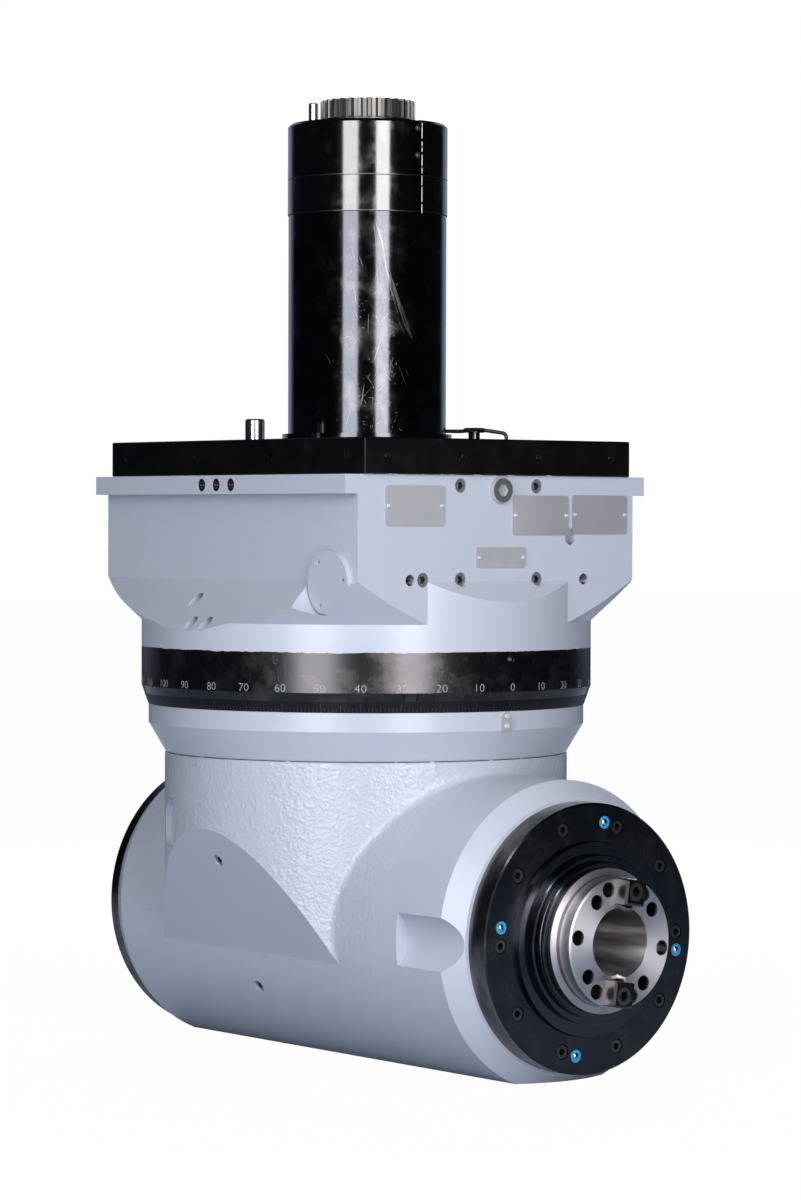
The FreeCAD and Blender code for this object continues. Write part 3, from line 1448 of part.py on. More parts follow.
def make_drawbar():
    bar = turned_y([
        (0, drawbar_front_y), (drawbar_radius - drawbar_chamfer, drawbar_front_y),
        (drawbar_radius, drawbar_front_y + drawbar_chamfer),
        (drawbar_radius, drawbar_back_y), (drawbar_head_radius, drawbar_back_y),
        (drawbar_head_radius, drawbar_back_y + drawbar_head_length - hub_chamfer),
        (drawbar_head_radius - hub_chamfer, drawbar_back_y + drawbar_head_length),
        (0, drawbar_back_y + drawbar_head_length),
    ])
    parts["drawbar"] = bar
    gripper = tube(gripper_radius, drawbar_radius, gripper_length,
                   V(0, drawbar_front_y + gripper_setback, spindle_z), BACK)
    mouth = cylinder(gripper_radius, 1, V(0, drawbar_front_y, spindle_z), BACK)
    half = gripper_slot / 2
    slot = block(-half, half, drawbar_front_y + gripper_setback - overrun,
                 drawbar_front_y + gripper_slot_length,
                 spindle_z, spindle_z + gripper_radius + overrun)
    slots = [spun(slot, 45 + 90 * index) for index in range(4)]
    parts["gripper"] = without(gripper, slots + [mouth])
    springs = []
    for index in range(spring_count):
        y = spring_front_y + index * spring_pitch
        inner_y = y if index % 2 == 0 else y + spring_cup
        outer_y = y + spring_cup if index % 2 == 0 else y
        springs.append(turned_y([
            (spring_hole_radius, inner_y), (spring_radius, outer_y),
            (spring_radius, outer_y + spring_thickness), (spring_hole_radius, inner_y + spring_thickness),
        ]))
    parts["disc_springs"] = Part.makeCompound(springs)


make_column()
make_shaft_bearings()
make_drive_shaft()
make_bevel_gears()
make_mounting_plate()
make_connector()
make_upper_housing()
make_housing_trim()
make_signs()
make_scale_ring()
make_swivel_bearing()
make_swivel_flange()
make_pointer()
make_lower_housing()
make_rear_cover()
make_front_flange()
make_hub()
make_nozzles()
make_spindle()
make_spindle_bearings()
make_drawbar()

os.makedirs("parts", exist_ok=True)
for name, shape in parts.items():
    shape.exportStep("parts/%s.step" % name)
    print(name, len(shape.Solids), "valid" if shape.isValid() else "NOT VALID", round(shape.Volume))
print(len(parts), "nodes")
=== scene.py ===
import bpy
import math
import random
from mathutils import Matrix, Vector


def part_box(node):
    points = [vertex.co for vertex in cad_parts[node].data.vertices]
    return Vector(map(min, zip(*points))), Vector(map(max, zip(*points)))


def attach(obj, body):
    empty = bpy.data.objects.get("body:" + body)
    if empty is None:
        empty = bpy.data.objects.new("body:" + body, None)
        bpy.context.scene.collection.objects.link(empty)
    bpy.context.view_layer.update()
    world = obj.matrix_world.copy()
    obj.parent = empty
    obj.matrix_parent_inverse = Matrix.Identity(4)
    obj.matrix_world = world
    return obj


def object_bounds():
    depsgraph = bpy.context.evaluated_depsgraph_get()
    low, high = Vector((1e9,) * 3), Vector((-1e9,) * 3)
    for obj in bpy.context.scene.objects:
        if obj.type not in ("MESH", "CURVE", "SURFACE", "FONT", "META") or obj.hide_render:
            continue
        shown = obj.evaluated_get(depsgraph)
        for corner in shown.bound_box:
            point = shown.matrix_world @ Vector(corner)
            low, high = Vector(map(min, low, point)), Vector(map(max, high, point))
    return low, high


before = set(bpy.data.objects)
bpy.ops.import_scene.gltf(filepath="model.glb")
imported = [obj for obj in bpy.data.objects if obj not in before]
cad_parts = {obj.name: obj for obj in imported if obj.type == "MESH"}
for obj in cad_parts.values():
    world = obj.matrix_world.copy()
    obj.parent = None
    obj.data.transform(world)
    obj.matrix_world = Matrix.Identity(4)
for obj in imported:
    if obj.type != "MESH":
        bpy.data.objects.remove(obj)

cad_low, cad_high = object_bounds()

# Camera: stands to the left of the nose at the height of the upper housing, a long way off,
# with the long lens and the small tilt and roll found from the photograph.
view_turn = math.radians(38.371)
view_tilt = math.radians(1.135)
view_roll = math.radians(0.181)
sensor_size = 36
picture_height = 1200
focal_pixels = 3908.39
camera = bpy.data.objects.new("camera", bpy.data.cameras.new("camera"))
bpy.context.scene.collection.objects.link(camera)
bpy.context.scene.camera = camera
camera.location = (-2.5082, -3.2253, -0.08373)
camera.data.lens = focal_pixels / picture_height * sensor_size
camera.data.sensor_width = sensor_size
camera.data.clip_end = 60
looking = Vector((math.sin(view_turn) * math.cos(view_tilt),
                  math.cos(view_turn) * math.cos(view_tilt), -math.sin(view_tilt)))
level = looking.to_track_quat("-Z", "Y").to_matrix()
camera.rotation_euler = (level @ Matrix.Rotation(view_roll, 3, "Z")).to_euler()
bpy.context.scene.view_settings.view_transform = "Standard"

# Floor: a wide white sheet under the flat base. It is white to the camera, keeps the contact
# shadow, and throws only a little cool light back up.
def new_material(name):
    """A material with a plain Principled shader; returns it with its node tree and shader."""
    made = bpy.data.materials.new(name)
    made.use_nodes = True
    return made, made.node_tree, made.node_tree.nodes["Principled BSDF"]

def feed(tree, value, socket):
    """Sets a socket to a number or colour, or links another socket to it."""
    if hasattr(value, "is_output"):
        tree.links.new(value, socket)
    else:
        socket.default_value = value

def math_node(tree, operation, first, second=None, clamp=False):
    """A Math node whose inputs are sockets or numbers; returns its output."""
    made = tree.nodes.new("ShaderNodeMath")
    made.operation = operation
    made.use_clamp = clamp
    feed(tree, first, made.inputs[0])
    if second is not None:
        feed(tree, second, made.inputs[1])
    return made.outputs[0]

def product(tree, first, *others):
    """Multiplies sockets and numbers together."""
    for other in others:
        first = math_node(tree, "MULTIPLY", first, other)
    return first

def mixed(tree, amount, first, second):
    """Mixes two colours, each a socket or a colour."""
    made = tree.nodes.new("ShaderNodeMix")
    made.data_type = "RGBA"
    for place, value in (("Factor", amount), ("A", first), ("B", second)):
        feed(tree, value, [s for s in made.inputs if s.name == place and s.enabled][0])
    return [s for s in made.outputs if s.enabled][0]

floor_half = 20.0
floor_gap = 0.0005
floor_bounce = (0.34, 0.40, 0.48, 1)
floor_seen = (0.85, 0.85, 0.87, 1)
floor_glow = 0.985
floor = bpy.data.objects.new("floor", bpy.data.meshes.new("floor"))
floor.data.from_pydata([(-floor_half, -floor_half, 0), (floor_half, -floor_half, 0),
                        (floor_half, floor_half, 0), (-floor_half, floor_half, 0)],
                       [], [(0, 1, 2, 3)])
floor.location.z = cad_low.z - floor_gap
bpy.context.scene.collection.objects.link(floor)
floor_paint, floor_tree, floor_shader = new_material("floor_paint")
floor_path = floor_tree.nodes.new("ShaderNodeLightPath")
seen_floor = math_node(floor_tree, "MAXIMUM", floor_path.outputs["Is Camera Ray"],
                       floor_path.outputs["Is Transmission Ray"])
feed(floor_tree, mixed(floor_tree, seen_floor, floor_bounce, floor_seen),
     floor_shader.inputs["Base Color"])
floor_shader.inputs["Roughness"].default_value = 0.9
floor_shader.inputs["Specular IOR Level"].default_value = 0.1
floor_white = floor_tree.nodes.new("ShaderNodeEmission")
floor_white.inputs["Color"].default_value = (1, 1, 1, 1)
floor_mix = floor_tree.nodes.new("ShaderNodeMixShader")
feed(floor_tree, product(floor_tree, seen_floor, floor_glow), floor_mix.inputs["Fac"])
floor_tree.links.new(floor_shader.outputs[0], floor_mix.inputs[1])
floor_tree.links.new(floor_white.outputs[0], floor_mix.inputs[2])
floor_tree.links.new(floor_mix.outputs[0], floor_tree.nodes["Material Output"].inputs["Surface"])
floor.data.materials.append(floor_paint)

# Studio: white backdrop behind the head, dark room in front of it, two tall soft boxes either side
# of the camera that draw the two white stripes on the column, a small one above, two behind.
def ranged(tree, value, low, high, to_low=0.0, to_high=1.0, smooth=False):
    """Maps a value from one range to another, clamped."""
    made = tree.nodes.new("ShaderNodeMapRange")
    if smooth:
        made.interpolation_type = "SMOOTHSTEP"
    for label, number in (("From Min", low), ("From Max", high), ("To Min", to_low),
                          ("To Max", to_high)):
        feed(tree, number, made.inputs[label])
    feed(tree, value, made.inputs["Value"])
    return made.outputs[0]

room_dark = 0.022
backdrop_bright = 0.62
sky_fill = 0.085
sky_tint = (0.66, 0.74, 1.0, 1)
world = bpy.data.worlds.new("studio")
bpy.context.scene.world = world
world.use_nodes = True
sky = world.node_tree
sky_out = sky.nodes["Background"]
sky_path = sky.nodes.new("ShaderNodeLightPath")
sky_way = sky.nodes.new("ShaderNodeTexCoord")
sky_dot = sky.nodes.new("ShaderNodeVectorMath")
sky_dot.operation = "DOT_PRODUCT"
sky_dot.inputs[1].default_value = (math.sin(view_turn), math.cos(view_turn), 0)
sky.links.new(sky_way.outputs["Generated"], sky_dot.inputs[0])
backdrop = ranged(sky, sky_dot.outputs["Value"], 0.70, 0.86, room_dark, backdrop_bright, True)
sky_glossy = product(sky, sky_path.outputs["Is Glossy Ray"], backdrop)
sky_seen = math_node(sky, "MAXIMUM", sky_path.outputs["Is Camera Ray"],
                     sky_path.outputs["Is Transmission Ray"])
sky_diffuse = product(sky, sky_path.outputs["Is Diffuse Ray"], sky_fill)
sky_total = math_node(sky, "ADD", math_node(sky, "ADD", sky_glossy, sky_seen), sky_diffuse)
feed(sky, sky_total, sky_out.inputs["Strength"])
feed(sky, mixed(sky, sky_seen, sky_tint, (1, 1, 1, 1)), sky_out.inputs["Color"])

def soft_box(name, degrees_right, distance, height, size, radiance, colour, aim=-0.1, mirrored=True):
    """An area lamp, placed by its angle to the right of the camera as seen from the head."""
    lamp = bpy.data.lights.new(name, "AREA")
    lamp.shape = "RECTANGLE"
    lamp.size, lamp.size_y = size
    lamp.energy = radiance * math.pi * size[0] * size[1]
    lamp.color = colour
    holder = bpy.data.objects.new(name, lamp)
    bpy.context.scene.collection.objects.link(holder)
    turn = view_turn - math.radians(degrees_right)
    spot = Vector((-math.sin(turn) * distance, -math.cos(turn) * distance, height))
    holder.location = spot
    holder.rotation_euler = (Vector((0, 0, aim)) - spot).to_track_quat("-Z", "Y").to_euler()
    holder.visible_camera = False
    holder.visible_glossy = mirrored

soft_box("box_right", 21.9, 2.2, 0.25, (0.72, 2.0), 8.4, (1.0, 0.995, 0.985))
soft_box("box_left", -23.6, 2.2, 0.25, (0.82, 2.0), 6.85, (0.985, 0.99, 1.0))
for rear_name, rear_angle in (("box_behind_right", 165), ("box_behind_left", -165)):
    soft_box(rear_name, rear_angle, 2.4, 0.5, (1.1, 2.0), 4.6, (0.995, 0.998, 1.0), mirrored=False)
soft_box("box_top", 8, 2.1, 1.6, (0.55, 0.22), 15.0, (1.0, 1.0, 1.0), aim=-0.4)

# Upper housing, side covers and swivelling flange: machined castings under light blue-grey
# two-part enamel. The covers and their screws were painted in place with the housing.
def group_sockets(name, inputs, outputs):
    """An empty shader node group with named inputs and outputs."""
    tree = bpy.data.node_groups.new(name, "ShaderNodeTree")
    for label, kind, value in inputs:
        tree.interface.new_socket(label, in_out="INPUT", socket_type=kind).default_value = value
    for label, kind in outputs:
        tree.interface.new_socket(label, in_out="OUTPUT", socket_type=kind)
    return tree, tree.nodes.new("NodeGroupInput"), tree.nodes.new("NodeGroupOutput")

def own_place(tree):
    """Coordinates in the head's own frame, whole and split."""
    where = tree.nodes.new("ShaderNodeTexCoord").outputs["Object"]
    split = tree.nodes.new("ShaderNodeSeparateXYZ")
    tree.links.new(where, split.inputs[0])
    return where, split.outputs

def noise(tree, scale, detail, where, rough=0.5):
    """A noise texture at a scale per metre in the head's own frame."""
    made = tree.nodes.new("ShaderNodeTexNoise")
    made.inputs["Detail"].default_value = detail
    made.inputs["Roughness"].default_value = rough
    made.inputs["Scale"].default_value = scale
    tree.links.new(where, made.inputs["Vector"])
    return made.outputs["Fac"]

enamel, enamel_in, enamel_out = group_sockets(
    "cast_enamel",
    [("Paint", "NodeSocketColor", (0.435, 0.465, 0.545, 1)), ("Grain", "NodeSocketFloat", 1.0)],
    [("Color", "NodeSocketColor"), ("Roughness", "NodeSocketFloat"), ("Height", "NodeSocketFloat")])
enamel_shade = (0.34, 0.375, 0.46, 1)
enamel_where = own_place(enamel)[0]
peel = ranged(enamel, noise(enamel, 330, 2, enamel_where), 0.38, 0.72)
ripples = ranged(enamel, noise(enamel, 185, 2, enamel_where, 0.45), 0.44, 0.78)
swells = noise(enamel, 30, 2, enamel_where)
skin_height = math_node(enamel, "ADD", product(enamel, peel, 0.26), product(enamel, ripples, 0.46))
skin_height = math_node(enamel, "ADD", skin_height, product(enamel, swells, 0.9))
feed(enamel, product(enamel, skin_height, enamel_in.outputs["Grain"]), enamel_out.inputs["Height"])
drift = ranged(enamel, noise(enamel, 7, 1, enamel_where), 0.25, 0.75)
feed(enamel, mixed(enamel, product(enamel, drift, 0.10), enamel_in.outputs["Paint"], enamel_shade),
     enamel_out.inputs["Color"])
enamel_gloss = ranged(enamel, enamel_in.outputs["Grain"], 0.15, 0.9, 0.27, 0.14)
enamel_haze = product(enamel, noise(enamel, 16, 1, enamel_where), 0.07)
feed(enamel, math_node(enamel, "ADD", enamel_gloss, enamel_haze), enamel_out.inputs["Roughness"])

def finish_material(name, group, settings, metallic=0.0, depth=0.0, grain=None):
    """A material fed by a finish group; settings name the group's inputs, depth its bump."""
    made, tree, shader = new_material(name)
    skin = tree.nodes.new("ShaderNodeGroup")
    skin.node_tree = group
    for label, value in settings.items():
        skin.inputs[label].default_value = value
    if grain is not None:
        tree.links.new(grain(tree), skin.inputs["Grain"])
    if depth:
        bump = tree.nodes.new("ShaderNodeBump")
        bump.inputs["Strength"].default_value = 1.0
        bump.inputs["Distance"].default_value = depth
        tree.links.new(skin.outputs["Height"], bump.inputs["Height"])
        tree.links.new(bump.outputs["Normal"], shader.inputs["Normal"])
    tree.links.new(skin.outputs["Color"], shader.inputs["Base Color"])
    tree.links.new(skin.outputs["Roughness"], shader.inputs["Roughness"])
    shader.inputs["Metallic"].default_value = metallic
    return made

def dress(names, material, bevel=0.0004):
    """Gives CAD nodes their finish and slightly broken edges."""
    for name in names:
        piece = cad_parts[name]
        piece.data.materials.clear()
        piece.data.materials.append(material)
        if bevel:
            edge = piece.modifiers.new("broken_edges", "BEVEL")
            edge.width = bevel
            edge.segments = 2
            edge.limit_method = "ANGLE"
            edge.angle_limit = math.radians(30)
            edge.harden_normals = True

smooth_enamel = finish_material("smooth_enamel", enamel, {"Grain": 0.03}, depth=0.0008)
dress(["upper_housing", "side_covers", "swivel_flange"], smooth_enamel, bevel=0.0009)
dress(["side_cover_screws"], smooth_enamel, bevel=0)

# Lower housing: a sand casting under the same enamel. Its neck and the front of its barrel keep
# the orange-peel skin of the mould; the side faces, the front cone and the foot are machined.
def own_normal(tree):
    """The face's direction in the head's own frame, split into X, Y and Z."""
    turned = tree.nodes.new("ShaderNodeVectorTransform")
    turned.vector_type = "NORMAL"
    turned.convert_from = "WORLD"
    turned.convert_to = "OBJECT"
    tree.links.new(tree.nodes.new("ShaderNodeNewGeometry").outputs["True Normal"], turned.inputs[0])
    split = tree.nodes.new("ShaderNodeSeparateXYZ")
    tree.links.new(turned.outputs[0], split.inputs[0])
    return split.outputs

side_face_way = (0.904, -0.427)

def casting_grain(tree):
    """How rough the casting is: neck and front of the barrel most, machined faces least."""
    normal = own_normal(tree)
    place = own_place(tree)[1]
    side_out = product(tree, math_node(tree, "ABSOLUTE", normal[0]), side_face_way[0])
    side = math_node(tree, "ADD", side_out, product(tree, normal[2], side_face_way[1]))
    off_side = ranged(tree, side, 0.99, 0.998, 1.0, 0.03)
    front_part = ranged(tree, place[1], -0.200, -0.225, 1.0, 0.12)
    rear_part = ranged(tree, place[1], -0.1, 0.12, 1.0, 0.5)
    lower_part = ranged(tree, place[2], -0.56, -0.45, 0.12, 1.0)
    return product(tree, off_side, front_part, rear_part, lower_part)

rough_enamel = finish_material("rough_enamel", enamel, {}, depth=0.0010, grain=casting_grain)
dress(["lower_housing"], rough_enamel, bevel=0)

# Column: sleeve, key strip and rings of ground steel, blackened and oiled, with handling
# scratches and worn brownish patches. The two upper rings are a little lighter.
def stretched(tree, where, scale, turn=(0, 0, 0)):
    """The same coordinates, scaled and turned."""
    made = tree.nodes.new("ShaderNodeMapping")
    made.inputs["Scale"].default_value = scale
    made.inputs["Rotation"].default_value = turn
    tree.links.new(where, made.inputs["Vector"])
    return made.outputs[0]

oxide, oxide_in, oxide_out = group_sockets(
    "black_oxide",
    [("Steel", "NodeSocketColor", (0.05, 0.05, 0.055, 1)),
     ("Worn", "NodeSocketColor", (0.16, 0.15, 0.15, 1)),
     ("Wear", "NodeSocketFloat", 0.5), ("Polish", "NodeSocketFloat", 0.16)],
    [("Color", "NodeSocketColor"), ("Roughness", "NodeSocketFloat"), ("Height", "NodeSocketFloat")])
oxide_where = own_place(oxide)[0]
patches = ranged(oxide, noise(oxide, 34, 5, oxide_where, 0.62), 0.47, 0.74)
long_marks = stretched(oxide, oxide_where, (7, 7, 0.7), (0.5, 0.2, 0))
scratches = ranged(oxide, noise(oxide, 45, 6, long_marks, 0.75), 0.60, 0.70)
worn_spots = math_node(oxide, "MAXIMUM", patches, product(oxide, scratches, 0.7))
wear = math_node(oxide, "MULTIPLY", worn_spots, oxide_in.outputs["Wear"], clamp=True)
feed(oxide, mixed(oxide, wear, oxide_in.outputs["Steel"], oxide_in.outputs["Worn"]),
     oxide_out.inputs["Color"])
feed(oxide, math_node(oxide, "ADD", oxide_in.outputs["Polish"], product(oxide, wear, 0.26)),
     oxide_out.inputs["Roughness"])
feed(oxide, noise(oxide, 60, 4, oxide_where), oxide_out.inputs["Height"])

def oxide_material(name, steel, worn, amount, polish):
    """Blackened steel: its colour, the colour and amount of its wear, and its roughness."""
    settings = {"Steel": steel + (1,), "Worn": worn + (1,), "Wear": amount, "Polish": polish}
    return finish_material(name, oxide, settings, metallic=1.0, depth=0.00004)

column_black = oxide_material("column_black", (0.066, 0.068, 0.076), (0.16, 0.155, 0.16), 0.62, 0.11)
ring_black = oxide_material("ring_black", (0.108, 0.106, 0.109), (0.19, 0.182, 0.18), 0.6, 0.11)
dress(["column_sleeve", "column_base_ring", "column_key_strip"], column_black)
dress(["column_mid_ring", "column_top_ring"], ring_black)

# Mounting plate: a thick blackened steel plate that bolts up against the ram. Its four upright
# corners are cut off narrowly, and the cuts get a painted shade, darker than its sides.
def overlay(made, mask, colour):
    """Lays a colour over what feeds a material's base colour, where the mask is 1."""
    tree = made.node_tree
    base = tree.nodes["Principled BSDF"].inputs["Base Color"]
    feed(tree, mixed(tree, mask, base.links[0].from_socket, colour), base)

plate_black = oxide_material("plate_black", (0.055, 0.052, 0.056), (0.09, 0.085, 0.08), 0.4, 0.32)
plate_tree = plate_black.node_tree
plate_way = own_normal(plate_tree)
# Painted shade: faces turned towards the corners are coloured darker.
corner_facing = math_node(plate_tree, "ABSOLUTE", product(plate_tree, plate_way[0], plate_way[1]))
overlay(plate_black, ranged(plate_tree, corner_facing, 0.1, 0.25), (0.016, 0.015, 0.016, 1))
dress(["mounting_plate"], plate_black, bevel=0)

# Scale ring: a blackened steel band with the degree scale, screwed to the foot of the upper
# housing. Brushed and handled more than the column, so it is a little duller.
scale_black = oxide_material("scale_black", (0.066, 0.062, 0.067), (0.19, 0.172, 0.166), 0.5, 0.25)
dress(["scale_ring"], scale_black)

# Front flange and rear cover: turned steel discs, blackened, bolted to the ends of the barrel.
# Their rims are rubbed lighter where the head has stood and slid on them.
flange_black = oxide_material("flange_black", (0.055, 0.057, 0.068), (0.125, 0.113, 0.108), 0.55, 0.21)
flange_tree = flange_black.node_tree
flange_facing = math_node(flange_tree, "ABSOLUTE", own_normal(flange_tree)[1])
rim = ranged(flange_tree, flange_facing, 0.3, 0.6, 1.0, 0.0)
rub_place = stretched(flange_tree, own_place(flange_tree)[0], (1, 3, 1))
rub = ranged(flange_tree, noise(flange_tree, 24, 4, rub_place), 0.35, 0.65, 0.1, 0.85)
overlay(flange_black, product(flange_tree, rim, rub), (0.26, 0.235, 0.215, 1))
dress(["front_flange", "rear_cover"], flange_black, bevel=0.0007)

# Seal hub: the stepped ring round the nose, fine turned, black and oily. The plugs sunk in the
# shoulder holes have the same dark finish.
hub_black = oxide_material("hub_black", (0.072, 0.076, 0.09), (0.11, 0.10, 0.10), 0.3, 0.18)
dress(["seal_hub"], hub_black, bevel=0.0007)
dress(["sunk_plugs"], hub_black, bevel=0.0002)

# Black screws and the connector post: hardened steel with a thin oxide, scuffed by the keys that
# tighten them. The heads on the scale ring are more rounded.
screw_black = oxide_material("screw_black", (0.15, 0.148, 0.15), (0.27, 0.25, 0.24), 0.5, 0.2)
dress(["plate_screws", "rear_cover_bolts", "hub_set_screws", "connector_post"], screw_black,
      bevel=0.0003)
dress(["scale_ring_screws"], screw_black, bevel=0.0007)

# Cap screws of the front flange and of the driving keys: black heads with a rounded edge. The
# hexagon sockets behind the faces of the heads get a painted shade, a near-black colour.
def cap_screw_finish(name, node):
    """Finishes one node of cap screws, whose heads face the nose side."""
    made = oxide_material(name, (0.062, 0.061, 0.065), (0.15, 0.143, 0.14), 0.5, 0.2)
    tree = made.node_tree
    face_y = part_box(node)[0][1]
    # Painted shade: the socket behind the face of each head is coloured near black.
    socket = ranged(tree, own_place(tree)[1][1], face_y + 0.0010, face_y + 0.0014)
    overlay(made, socket, (0.008, 0.008, 0.009, 1))
    tree.nodes["Principled BSDF"].inputs["Metallic"].default_value = 0.8
    dress([node], made, bevel=0.0006)

cap_screw_finish("flange_screw_black", "front_flange_screws")
cap_screw_finish("key_screw_black", "key_screws")

# Spindle nose: bright hardened steel. Its face is turned, so it keeps fine rings round its axis
# that spread the light across them; the taper wall gets a painted shade, with painted reflection
# streaks along its length.
bright, bright_in, bright_out = group_sockets(
    "ground_steel",
    [("Steel", "NodeSocketColor", (0.62, 0.60, 0.64, 1)), ("Polish", "NodeSocketFloat", 0.22)],
    [("Color", "NodeSocketColor"), ("Roughness", "NodeSocketFloat")])
bright_stain = (0.33, 0.31, 0.32, 1)
stains = ranged(bright, noise(bright, 35, 4, own_place(bright)[0]), 0.45, 0.8)
feed(bright, mixed(bright, product(bright, stains, 0.3), bright_in.outputs["Steel"], bright_stain),
     bright_out.inputs["Color"])
feed(bright, math_node(bright, "ADD", bright_in.outputs["Polish"], product(bright, stains, 0.08)),
     bright_out.inputs["Roughness"])

def bright_material(name, steel, polish, metallic=1.0):
    """Bare or plated bright steel: its colour and its roughness."""
    return finish_material(name, bright, {"Steel": steel + (1,), "Polish": polish}, metallic)

nose_steel = bright_material("nose_steel", (0.68, 0.655, 0.695), 0.50)
nose_tree = nose_steel.node_tree
nose_shader = nose_tree.nodes["Principled BSDF"]
nose_shader.inputs["Anisotropic"].default_value = 0.70
nose_shader.inputs["Anisotropic Rotation"].default_value = 0.25
turning = nose_tree.nodes.new("ShaderNodeTangent")
turning.direction_type = "RADIAL"
turning.axis = "Y"
nose_tree.links.new(turning.outputs[0], nose_shader.inputs["Tangent"])

def reach_from(tree, across, up):
    """Distance from an axis, given the offsets from it across and up."""
    squares = [product(tree, offset, offset) for offset in (across, up)]
    return math_node(tree, "SQRT", math_node(tree, "ADD", *squares))

spindle_z = -0.4894
nose_front_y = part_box("spindle")[0][1]
nose_where, nose_place = own_place(nose_tree)
nose_height = math_node(nose_tree, "SUBTRACT", nose_place[2], spindle_z)
nose_reach = reach_from(nose_tree, nose_place[0], nose_height)
# Painted shade and painted reflection: the taper wall is coloured dark with bright streaks along the
# axis.
taper_wall = ranged(nose_tree, nose_reach, 0.0352, 0.0358, 1.0, 0.0)
taper_streak_place = stretched(nose_tree, nose_where, (1, 0.02, 1))
painted_taper_streaks = ranged(nose_tree, noise(nose_tree, 70, 2, taper_streak_place), 0.38, 0.62)
painted_taper_reflection = mixed(nose_tree, painted_taper_streaks, (0.30, 0.285, 0.285, 1), (1.0, 0.97, 0.98, 1))
overlay(nose_steel, taper_wall, painted_taper_reflection)

nose_facing = math_node(nose_tree, "ABSOLUTE", own_normal(nose_tree)[1])
nose_side = ranged(nose_tree, nose_facing, 0.3, 0.6, 1.0, 0.0)
side_polish = ranged(nose_tree, nose_side, 0, 1, 1, 0.55)
nose_polish = nose_shader.inputs["Roughness"].links[0].from_socket
feed(nose_tree, product(nose_tree, nose_polish, side_polish), nose_shader.inputs["Roughness"])

# A dark brown band round the side of the nose, behind its chamfer.
behind_chamfer = ranged(nose_tree, nose_place[1], nose_front_y + 0.0150, nose_front_y + 0.0157)
on_spigot = ranged(nose_tree, nose_reach, 0.060, 0.0605)
dark_side_band = product(nose_tree, nose_side, behind_chamfer, on_spigot)
overlay(nose_steel, dark_side_band, (0.20, 0.18, 0.17, 1))

# Painted shade: the walls of the holes in the nose face are coloured near black.
behind_face = ranged(nose_tree, nose_place[1], nose_front_y + 0.001, nose_front_y + 0.004)
off_taper = ranged(nose_tree, nose_reach, 0.0362, 0.0366)
off_side = ranged(nose_tree, nose_reach, 0.0605, 0.0615, 1.0, 0.0)
in_holes = product(nose_tree, behind_face, off_taper, off_side)
overlay(nose_steel, in_holes, (0.07, 0.067, 0.066, 1))
dress(["spindle"], nose_steel, bevel=0.0003)

# Pins, drawbar and gripper: hardened steel, ground round and left bright. The locating pin and
# the dowel are pressed in; the drawbar slides in the spindle.
pin_steel = bright_material("pin_steel", (0.58, 0.56, 0.57), 0.2)
dress(["locating_pin", "column_dowel", "drawbar", "gripper"], pin_steel, bevel=0.0003)

# Gears, drive shaft and bearings: hardened steel, darkened by the oil that they run in. Only the
# coupling gear on top of the column shows from outside.
gear_steel = bright_material("gear_steel", (0.19, 0.182, 0.178), 0.42)
dress(["coupling_gear", "drive_shaft", "bevel_pinion", "bevel_gear"], gear_steel, bevel=0.0002)
dress(["column_bearing_rings", "shaft_bearing_rings", "pinion_bearing_ring", "swivel_bearing_outer",
       "swivel_bearing_inner", "spindle_bearing_outers", "spindle_bearing_inners", "spindle_nut",
       "disc_springs"], gear_steel, bevel=0)

# Driving keys: two hardened blocks, blackened, with ground flanks. Each sits in a slot of the
# nose and is held by one cap screw.
key_metal, key_tree, key_shader = new_material("key_metal")
key_front = ranged(key_tree, own_normal(key_tree)[1], -0.9, -0.4, 1.0, 0.0)
feed(key_tree, mixed(key_tree, key_front, (0.22, 0.21, 0.21, 1), (0.03, 0.03, 0.033, 1)),
     key_shader.inputs["Base Color"])
key_shader.inputs["Metallic"].default_value = 1.0
key_shader.inputs["Roughness"].default_value = 0.3
dress(["spindle_keys"], key_metal, bevel=0.0003)

# Housing plugs: plated steel plugs screwed into the oil and air holes. The ones in the front
# face get a painted shade on their socket walls and a painted highlight on the socket floor;
# those in the side lips show a light middle, zinc with a painted highlight, in a painted dark
# ring of hole shadow.
lip_pitch = 0.0251
lip_start = 0.01325
lip_level = 0.0462
plug_metal, plug_tree, plug_shader = new_material("plug_metal")
plug_where, plug_place = own_place(plug_tree)
lip_y = math_node(plug_tree, "ADD", plug_place[1], lip_start)
lip_y = math_node(plug_tree, "FLOORED_MODULO", lip_y, lip_pitch)
lip_y = math_node(plug_tree, "SUBTRACT", lip_y, lip_pitch / 2)
lip_z = math_node(plug_tree, "ADD", plug_place[2], lip_level)
lip_reach = reach_from(plug_tree, lip_y, lip_z)
on_lip = ranged(plug_tree, math_node(plug_tree, "ABSOLUTE", plug_place[0]), 0.180, 0.181)
lip_hole_shadow = product(plug_tree, on_lip, ranged(plug_tree, lip_reach, 0.0026, 0.0036))
plug_face_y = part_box("housing_plugs")[0][1]
front_recess = ranged(plug_tree, plug_place[1], plug_face_y + 0.0012, plug_face_y + 0.0018)
facing_front = ranged(plug_tree, own_normal(plug_tree)[1], -0.95, -0.7, 1.0, 0.0)
socket_floor_highlight = product(plug_tree, front_recess, facing_front)
plug_tone = (0.26, 0.275, 0.29, 1)
